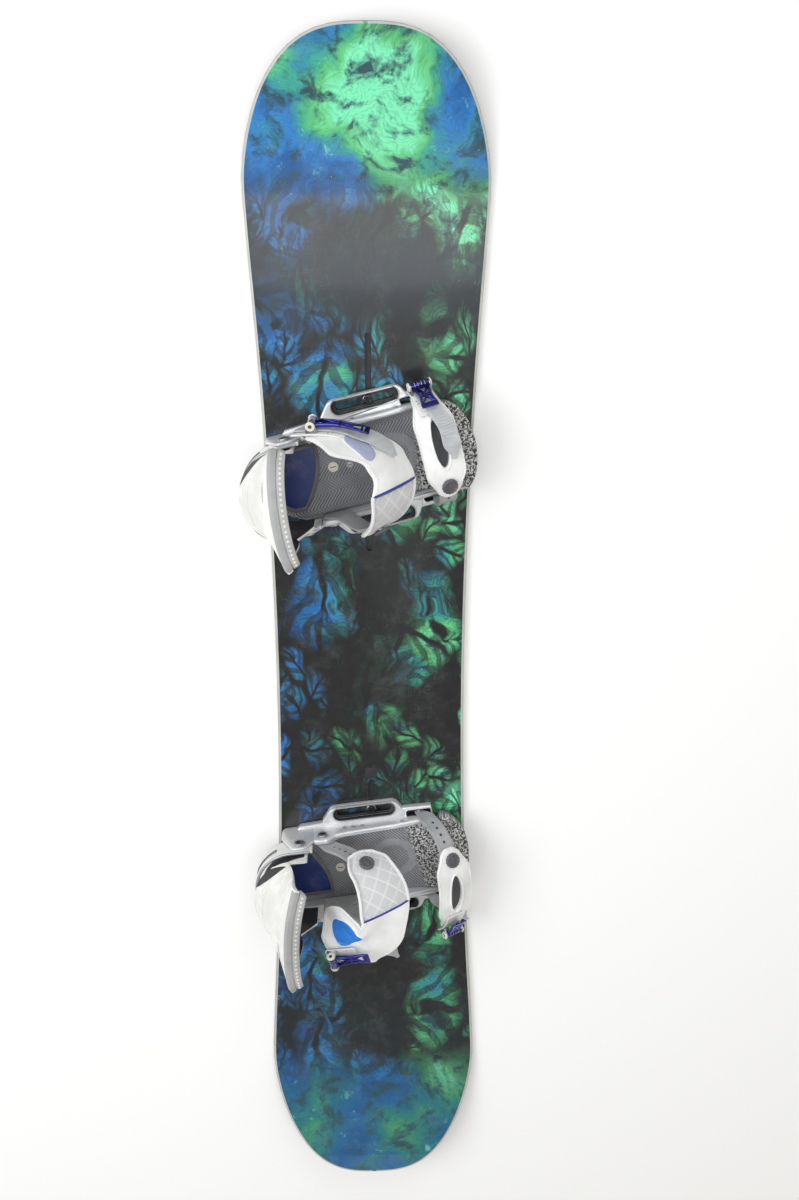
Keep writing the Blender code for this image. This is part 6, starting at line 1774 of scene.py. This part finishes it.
def make_buckle(binding, name, line, middle, drift, lift, lever_long, bent=True):
    """A ratchet buckle: a plate and cheeks on the strap, capped pin ends, and an open lever."""
    back = middle + PLATE_BACK
    front = middle - PLATE_FRONT
    half = LADDER_HALF + GAP + PIN_GAP + CHEEK_WIDE
    place = line.frame(middle, drift, lift, True)
    base = Blank()
    if bent:
        along = place.col[0].xyz
        here = drift(middle)
        reach = line.point(middle, here + 0.001, lift) - line.point(middle, here - 0.001, lift)
        wide = (half + 0.001) * 0.002 / (reach - along * reach.dot(along)).length
        base.band(line, front, back, drift, lambda s: wide, lift, lift + PLATE_THICK, 0.0008,
                  rows=16, count=4)
    else:
        plate = rounded(oblong(-PLATE_BACK, PLATE_FRONT, -half, half), 0.004)
        base.slab([plate], 0.0, PLATE_THICK, 0.0007, place)
    pin_high = PLATE_THICK + LADDER_GAP + LADDER_THICK + PIN_RADIUS + 0.0032
    cheek = [
        (-PIN_BACK - 0.007, 0.0007), (-PIN_BACK + 0.009, 0.0007), (-PIN_BACK + 0.005, pin_high + 0.0042),
        (-PIN_BACK - 0.004, pin_high + 0.0042),
    ]
    inner = half - CHEEK_WIDE
    for way in (1, -1):
        low, high = sorted((way * inner, way * (half - 0.0001)))
        base.slab([rounded(cheek, 0.003)], low, high, 0.0006, place @ UPRIGHT, finish=1)
        end = place @ sideways(-PIN_BACK, 0, pin_high, way)
        cap = ((0.0, -0.0004), (0.0056, -0.0004), (0.0056, 0.0006), (0.0048, 0.0014), (0.0026, 0.0015),
               (0.0022, 0.0007))
        pit = ((0.0023, 0.0004), (0.0023, 0.0008), (0.0, 0.0008))
        for profile, sides, paint in ((cap, 28, 2), (pit, 16, 3)):
            base.turn([(radius, half + out) for radius, out in profile], sides, end, finish=paint)
    for x in (0.010, 0.016):
        ridge = [place @ Vector((x + 0.002, y, PLATE_THICK - 0.0001)) for y in (-half + 0.0006, -inner)]
        base.tube(ridge, 0.0006, 6, finish=1)
    binding.set_on(f"{name}_ratchet", base, [WHITE_NYLON, BUCKLE_SILVER, CREAM, BLACK_RUBBER_AND_PAINTED_SHADE], name,
                   [f"{name}_buckle"])

    to_frame = place.inverted()
    under_lift = lift + PLATE_THICK + LADDER_GAP + LADDER_THICK + LEVER_OVER
    rows = []
    for share in spread(0.0, 1.0, 20):
        run = -PIN_BACK + 0.004 + (lever_long - 0.004) * share
        s = middle - run
        spot = to_frame @ line.point(s, drift(s), under_lift + LEVER_CLEAR * share ** 2)
        thick = LEVER_THICK * (0.55 + 0.75 * soft_step(1 - share))
        rows.append((spot.x, spot.z, thick))
    reach_y = inner - PIN_GAP
    lever = Blank()

    def bar(places, wide, finish=0):
        """A rounded bar through places of share and side on the lever."""
        rings = []
        for n, (share, y) in enumerate(places):
            i = min(19.999, max(0.0, share * 20))
            k = int(i)
            x, z, thick = (a + (b - a) * (i - k) for a, b in zip(rows[k], rows[k + 1]))
            before, after = places[max(0, n - 1)], places[min(len(places) - 1, n + 1)]
            way = Vector(((after[0] - before[0]) * lever_long, after[1] - before[1])).normalized()
            side = Vector((-way.y, way.x, 0.0)) * (wide / 2)
            size = 0.8 if n in (0, len(places) - 1) else 1.0
            ring = []
            for k in range(10):
                t = 2 * math.pi * (k + 0.5) / 10
                fat = abs(math.cos(t)) ** 0.6 * math.copysign(1, math.cos(t))
                tall = abs(math.sin(t)) ** 0.6 * math.copysign(1, math.sin(t))
                ring.append(place @ (Vector((x, y, z + thick / 2)) + side * fat * size
                                     + Vector((0, 0, thick / 2 * tall * size))))
            rings.append(ring)
        lever.loft(rings, finish=finish)

    for rim in (reach_y - 0.0015, 0.0015 - reach_y):
        bar([(t, rim * (1 - 0.28 * math.sin(math.pi * t) ** 2)) for t in spread(0.0, 1.0, 24)], 0.0030)
        bar([(0.10 + 0.38 * t, rim * (0.95 - 1.05 * t)) for t in spread(0.0, 1.0, 10)], 0.0024)
        bar([(0.52 + 0.34 * t, rim * (-0.2 + 1.1 * t)) for t in spread(0.0, 1.0, 10)], 0.0022)
    for share in (0.02, 0.50, 0.88, 0.95, 1.0):
        reach = reach_y * (0.80 if share == 0.50 else 1.0)
        bar([(share, reach * y) for y in spread(0.96, -0.96, 8)], 0.0032)
    hub = place @ sideways(-PIN_BACK, 0, pin_high)
    lever.turn([(0.0, -reach_y), (0.0036, -reach_y), (HUB_RADIUS, -reach_y + 0.0008),
                (HUB_RADIUS, reach_y - 0.0008), (0.0036, reach_y), (0.0, reach_y)], 28, hub)
    for y in (-0.6, -0.2, 0.2, 0.6):
        ring = [hub @ Vector((a, b, y * reach_y)) for a, b in circle(HUB_RADIUS, 28)]
        lever.tube(ring, 0.0005, 6, back=True, finish=1)
    lever.turn(oblong(0.0, PIN_RADIUS, -half + 0.0002, half - 0.0002), 20, hub, finish=1)
    binding.set_on(f"{name}_handle", lever, [LEVER_VIOLET, BUCKLE_SILVER], f"{name}_lever",
                   [f"{name}_lever"])


def toe_strap_form(binding):
    """The line and the form of a toe strap."""
    closed = binding.closed
    tab = RAIL_OUTER + 0.0022
    side, high = TOE_SIDE, TOE_HIGH
    start = [(-tab, -0.006), (-tab, 0.0), (-tab, 0.010)]
    if closed:
        over = [(-side, 0.027), (-0.060, 0.047), (-0.037, high - 0.005), (0, high), (0.037, high - 0.005)]
        end = [(0.060, 0.048), (side, 0.030), (side, 0.018)]
    else:
        over = [(-0.060, 0.028), (-0.052, 0.048), (-0.026, high - 0.002), (0.012, high + 0.004)]
        end = [(0.048, high - 0.002), (0.074, 0.054), (0.090, 0.038), (0.098, 0.020)]
    hinge = Vector((TOE_X, 0, TOE_Z))
    line = StrapLine(hinge, TOE_TILT if closed else TOE_OPEN_TILT, start + over + end, 1)
    first = line.falls_to(TOE_END_RISE) - TOE_LENGTH if closed else TOE_OPEN_FROM
    stops = ((0, 0.011), (0.008, 0.017), (0.030, TOE_HALF), (0.090, TOE_HALF), (TOE_LENGTH - 0.020, 0.0165),
             (TOE_LENGTH, 0.009))
    width = table(*stops)

    def half(s):
        return width(s - first)

    return hinge, tab, Strap(line, first, first + TOE_LENGTH, level_line, half, TOE_THICK, 0.35)


def make_toe(binding):
    """The toe strap: clear slider, white cap with a window, lining, knob, buckle and ladder."""
    hinge, tab, strap = toe_strap_form(binding)
    line = strap.line
    first = strap.first
    slide_half = table((0, 0.0030), (0.003, 0.0052), (0.010, 0.0068), (0.026, SLIDER_HALF - 0.001))
    holes = [first - 0.008 - 0.010 * i for i in range(4)]
    slider = make_slider(line, first + 0.034, slide_half, holes)
    near, far = RAIL_OUTER - 0.004, RAIL_OUTER + TOE_SLOT_WIDTH + 0.004
    stud = oblong(0.0, TOE_STUD, near, far)
    slider.turn(stud, 16, sideways(TOE_X, 0, TOE_Z, -1))
    binding.set_on("toe_slide", slider, [CLEAR_SLIDER, BLACK_RUBBER_AND_PAINTED_SHADE], "toe", ["toe_slider"])

    cap = Blank()
    window = first + TOE_WINDOW_FROM
    low = strap.low
    around = 96
    outer_line, hole_line = [], []
    span = TOE_LENGTH / 2
    for along, side in circle(1.0, around):
        hole_line.append((window + TOE_WINDOW_LONG * along, TOE_WINDOW_HIGH * side))
        squarer = 1 / (abs(along) ** 6 + abs(side) ** 6) ** (1 / 6)
        s = first + span + (span - 0.0002) * max(-1.0, min(1.0, along * squarer))
        d = max(-1.0, min(1.0, side * squarer)) * (strap.half(s) - 0.0002)
        outer_line.append((s, d))

    def spot(k, share, lift):
        (s, d), (hole_s, hole_d) = outer_line[k], hole_line[k]
        s, d = s + (hole_s - s) * share, d + (hole_d - d) * share
        across = min(1.0, abs(d) / strap.half(s))
        crown = low + TOE_THICK * (1 - strap.crown * across ** CROWN_POWER)
        return line.point(s, d, low + (crown - low) * lift)

    def whole_ring(share, lift):
        return [spot(k, share, lift) for k in range(around)]

    above = [(0.0, 0.72), (0.03, 0.93)] + [(share, 1.0) for share in (0.09, 0.2, 0.35, 0.5, 0.65, 0.8, 0.91)]
    below = [(1.0, 0.26), (0.97, 0.0), (0.5, 0.0), (0.03, 0.0), (0.0, 0.26)]
    cap.loft([whole_ring(*at) for at in above + [(0.97, 0.95), (1.0, 0.76)] + below], back=True)
    cap.tube(whole_ring(0.94, 1.02), 0.0013, 8, back=True)
    cap.tube(whole_ring(0.07, 1.0), 0.0009, 8, back=True)
    for n in range(5):
        groove = [spot(k % around, 0.40 + 0.06 * n, 1.01) for k in range(around - 14, around + 15)]
        cap.tube(groove, 0.0004, 6, finish=2, taper=True)
    # The lining runs down into the window as a dark wall, and a dark sheet fills the window below the cap:
    # painted shade in the opening.
    lining = ((0.06, -0.02), (0.5, -0.02), (1.03, -0.02), (1.03, -0.34), (0.5, -0.30), (0.06, -0.16))
    cap.loft([whole_ring(*at) for at in lining], back=True, finish=1)
    mesh = ((0.10, -0.20), (0.6, -0.20), (1.10, -0.20), (1.10, -0.08), (0.6, -0.08), (0.10, -0.08))
    cap.loft([
        [line.point(window + (s - window) * share, d * share, low + TOE_THICK * lift) for s, d in hole_line]
        for share, lift in mesh
    ], finish=3)
    finishes = [STRAP_WHITE, FOAM_LINING, RIM_GREY, WINDOW_SHADE_SHEET]
    binding.set_on("toe_cap", cap, finishes, "toe", ["toe_strap"], sharp=50)

    make_knob(binding, "toe", line, first + 0.016, strap.skin)
    buckle_at = strap.last - 0.018
    make_buckle(binding, "toe", line, buckle_at, level_line, strap.skin, LEVER_SHORT)

    ladder_lift = strap.skin + PLATE_THICK + LADDER_GAP
    foot = [(tab, -0.006), (tab, 0.0), (tab, 0.008)]
    if binding.closed:
        foot += [(0.070, 0.0135)]
        runs = (0.020, 0.014, 0.007, 0.0, -0.007, -0.014, -0.022, -0.030, -0.042, -0.054, -0.066, -0.078)
        for run in runs:
            at = line.lifted(buckle_at + run, ladder_lift)
            foot.append((at.x, at.y, 0.013 * soft_step(-run / 0.050)))
    else:
        foot += [(0.070, 0.018, 0.006), (0.084, 0.026, 0.020), (0.103, 0.034, 0.042)]
    ladder_line = StrapLine(hinge, TOE_TILT, foot, -1)
    end = ladder_line.total
    half = table(
        (0, 0.0030), (0.003, 0.0052), (0.016, 0.0066), (0.034, LADDER_HALF), (end - 0.036, LADDER_HALF),
        (end - 0.020, LADDER_HALF + 0.001), (end, 0.003),
    )
    body = "toe" if binding.closed else "toe_ladder"
    make_ladder(binding, "toe", ladder_line, half, 0.022, end - 0.030, body, stud)


def socket_head(blank, place, radius, low, top, over, sides, pit_from, pit, paint):
    """A screw's head with a hex socket, and the floor of the socket."""
    hexagon = rounded(circle(HEX_SOCKET, 6), 0.0003, 2)
    blank.slab([circle(radius, sides), hexagon], low, top, over, place, hole_shade_finish=paint)
    wide = HEX_SOCKET + 0.0001
    blank.turn([(wide, pit_from), (wide, pit), (0.0, pit)], 12, place, finish=paint)


def make_bolts(binding):
    """Bolts of the highback and the ankle straps, with washers and hex sockets."""
    outer = RAIL_OUTER + GAP
    tab = RAIL_INNER - GAP - SLIDER_THICK
    kinds = (("pivot", PIVOT_X, PIVOT_Z, BACK_FOOT_HALF - BACK_THICK / 2, 0.0085),
             ("ankle", ANKLE_X, ANKLE_Z, tab, 0.0080))
    for kind, x, z, inner, washer in kinds:
        for name, way in (("outer", 1), ("inner", -1)):
            place = sideways(x, 0, z, way)
            bolt = Blank()
            bolt.turn([(0.0, inner), (BOLT_SHANK, inner), (BOLT_SHANK, outer), (washer, outer),
                       (washer, outer + 0.0006), (washer - 0.0008, outer + 0.0010)], 32, place, finish=1)
            # The socket's walls and floor take the black finish in a steel head: painted shade in the
            # socket.
            socket_head(bolt, place, washer - 0.0014, outer + 0.0005, outer + 0.0028, 0.0007, 32,
                        outer + 0.0004, outer + 0.0009, 2)
            binding.set_on(f"{kind}_screw_{name}", bolt, [BOLT_STEEL, SILVER_TRIM, SCREW_BLACK], "base",
                           [f"{kind}_bolt_{name}"])


def make_mounts(binding):
    """Mount screws in the ears with washers and hex sockets. The channel nuts stay as they are."""
    reach = EAR_SLOT_AT / math.cos(math.radians(binding.angle))
    low = BOARD_TOP + EAR_TOP - RECESS_DEPTH + GAP
    top = low + SCREW_HEAD_HIGH
    for name, way in (("nose", 1), ("tail", -1)):
        spot = Matrix.Translation((0, binding.at + way * reach, 0))
        screw = Blank()
        screw.turn([(0.0, SCREW_FOOT), (SCREW_SHANK, SCREW_FOOT), (SCREW_SHANK, low), (SCREW_WASHER, low),
                    (SCREW_WASHER, low + 0.0007), (SCREW_WASHER - 0.0005, low + 0.0011)], 36, spot, finish=1)
        socket_head(screw, spot, SCREW_HEAD, low + 0.0006, top, 0.0009, 36, low + 0.0008, top - 0.0022, 0)
        set_on(f"{binding.label}_ear_screw_{name}", screw, [SCREW_BLACK, BOLT_STEEL],
               f"{binding.label}_mount", None, [f"{binding.label}_mount_screw_{name}"])
        repaint(f"{binding.label}_channel_nut_{name}", BOLT_STEEL)


to_fill = []  # padded pieces: the piece, its held points, the pressure and the furthest a point may move


def pinned(columns, rows, back, on_seam):
    """The points of a padded sheet that stay in place: all of one face, and the other's points on a seam."""
    face = (columns + 1) * (rows + 1)
    held = set()
    for j in range(rows + 1):
        for i in range(columns + 1):
            k = j * (columns + 1) + i
            held.add(k + face * back)
            if on_seam(i, j):
                held.add(k + face * (1 - back))
    return held


def fill_pads():
    """Swell the padded pieces by cloth simulation, held at their seams and backs."""
    if not to_fill:
        return
    scene = bpy.context.scene
    scene.frame_start, scene.frame_end = 1, FILL_STEPS
    rests = []
    for made, held, pressure, cap in to_fill:
        group = made.vertex_groups.new(name="held")
        group.add(sorted(held), 1.0, "REPLACE")
        rests.append([v.co.copy() for v in made.data.vertices])
        cloth = made.modifiers.new("Fill", "CLOTH")
        settings = cloth.settings
        settings.quality = 5
        settings.mass = 0.2
        settings.tension_stiffness = 6.0
        settings.compression_stiffness = 6.0
        settings.shear_stiffness = 3.0
        settings.bending_stiffness = 0.2
        settings.use_pressure = True
        settings.uniform_pressure_force = pressure
        settings.vertex_group_mass = "held"
        settings.effector_weights.gravity = 0.0
        cloth.collision_settings.use_collision = False
        cloth.point_cache.frame_start, cloth.point_cache.frame_end = 1, FILL_STEPS
    for step in range(1, FILL_STEPS + 1):
        scene.frame_set(step)
    swelled = []
    depsgraph = bpy.context.evaluated_depsgraph_get()
    for made, *others in to_fill:
        mesh = made.evaluated_get(depsgraph).to_mesh()
        swelled.append([v.co.copy() for v in mesh.vertices])
        made.evaluated_get(depsgraph).to_mesh_clear()
    for (made, held, pressure, cap), rest, full in zip(to_fill, rests, swelled):
        made.modifiers.clear()
        for vertex, before, after in zip(made.data.vertices, rest, full):
            move = after - before
            if move.length > cap:
                move = move.normalized() * cap
            vertex.co = before + move
        made.data.update()
    scene.frame_set(1)


def make_stage():
    """A pale floor, soft light from the left, and the camera of the photograph."""
    ends = (-STAGE_HALF, STAGE_HALF)
    corners = [(x, y, -0.0002) for y in ends for x in ends]
    mesh = bpy.data.meshes.new("floor")
    mesh.from_pydata(corners, [], [(0, 1, 3, 2)])
    ground = bpy.data.objects.new("floor", mesh)
    bpy.context.scene.collection.objects.link(ground)
    paper = Finish("floor_paper", (0.91, 0.90, 0.885), 0.9)
    rays = paper.lay("ShaderNodeLightPath").outputs
    seen = paper.most(rays["Is Camera Ray"], rays["Is Glossy Ray"])
    seen = paper.most(seen, rays["Is Transmission Ray"])
    paper.feed(paper.shader.inputs["Emission Color"], paper.mix(seen, (0.0, 0.0, 0.0), (0.07, 0.07, 0.07)))
    paper.shader.inputs["Emission Strength"].default_value = 1.0
    mesh.materials.append(paper.material)

    world = bpy.data.worlds.new("studio")
    world.use_nodes = True
    sky = world.node_tree.nodes["Background"]
    sky.inputs["Color"].default_value = (1.0, 0.975, 0.94, 1.0)
    sky.inputs["Strength"].default_value = 0.50
    bpy.context.scene.world = world

    for name, spot, aim, wide, deep, power in (
        ("left_box", (-1.9, 0.5, 2.2), (0.0, 0.0, 0.05), 1.6, 1.6, 42.0),
        ("top_box", (0.25, 0.30, 2.7), (0.0, 0.0, 0.05), 2.0, 2.0, 9.0),
        ("window_box", (0.0, 0.46, 2.3), (0.0, 0.5, 0.0), 2.0, 0.34, 9.6),
        ("nose_box", (0.4, 2.4, 1.9), (0.0, 0.1, 0.05), 1.2, 1.2, 12.0),
    ):
        lamp = bpy.data.lights.new(name, "AREA")
        lamp.shape = "RECTANGLE"
        lamp.size = wide
        lamp.size_y = deep
        lamp.energy = power
        lamp.color = (0.93, 0.97, 1.0)
        made = bpy.data.objects.new(name, lamp)
        bpy.context.scene.collection.objects.link(made)
        made.location = spot
        made.rotation_mode = "QUATERNION"
        made.rotation_quaternion = (Vector(aim) - Vector(spot)).to_track_quat("-Z", "Y")

    camera = bpy.data.cameras.new("camera")
    camera.sensor_fit = "VERTICAL"
    camera.sensor_width = camera.sensor_height = SENSOR
    camera.lens = FOCAL_PIXELS * SENSOR / FRAME_PIXELS
    eye = bpy.data.objects.new("camera", camera)
    bpy.context.scene.collection.objects.link(eye)
    ahead = Vector(CAMERA_WAY).normalized()
    right = ahead.cross(Vector((0, 1, 0))).normalized()
    eye.matrix_world = axes_at(CAMERA_AT, right, right.cross(ahead), -ahead)
    bpy.context.scene.camera = eye
    bpy.context.scene.view_settings.view_transform = "Standard"


def main():
    make_stage()
    bindings = [
        Binding("front", 0.285, 14.0, 8.0, 1, True),
        Binding("rear", -0.283, 7.0, -10.0, -1, False),
    ]
    for binding in bindings:
        make_highback(binding)
        make_footbed(binding)
        make_ankle(binding)
    fill_pads()
    for binding in bindings:
        make_base(binding)
        make_hoop(binding)
        make_toe(binding)
        make_bolts(binding)
        make_mounts(binding)
    make_board()


main()
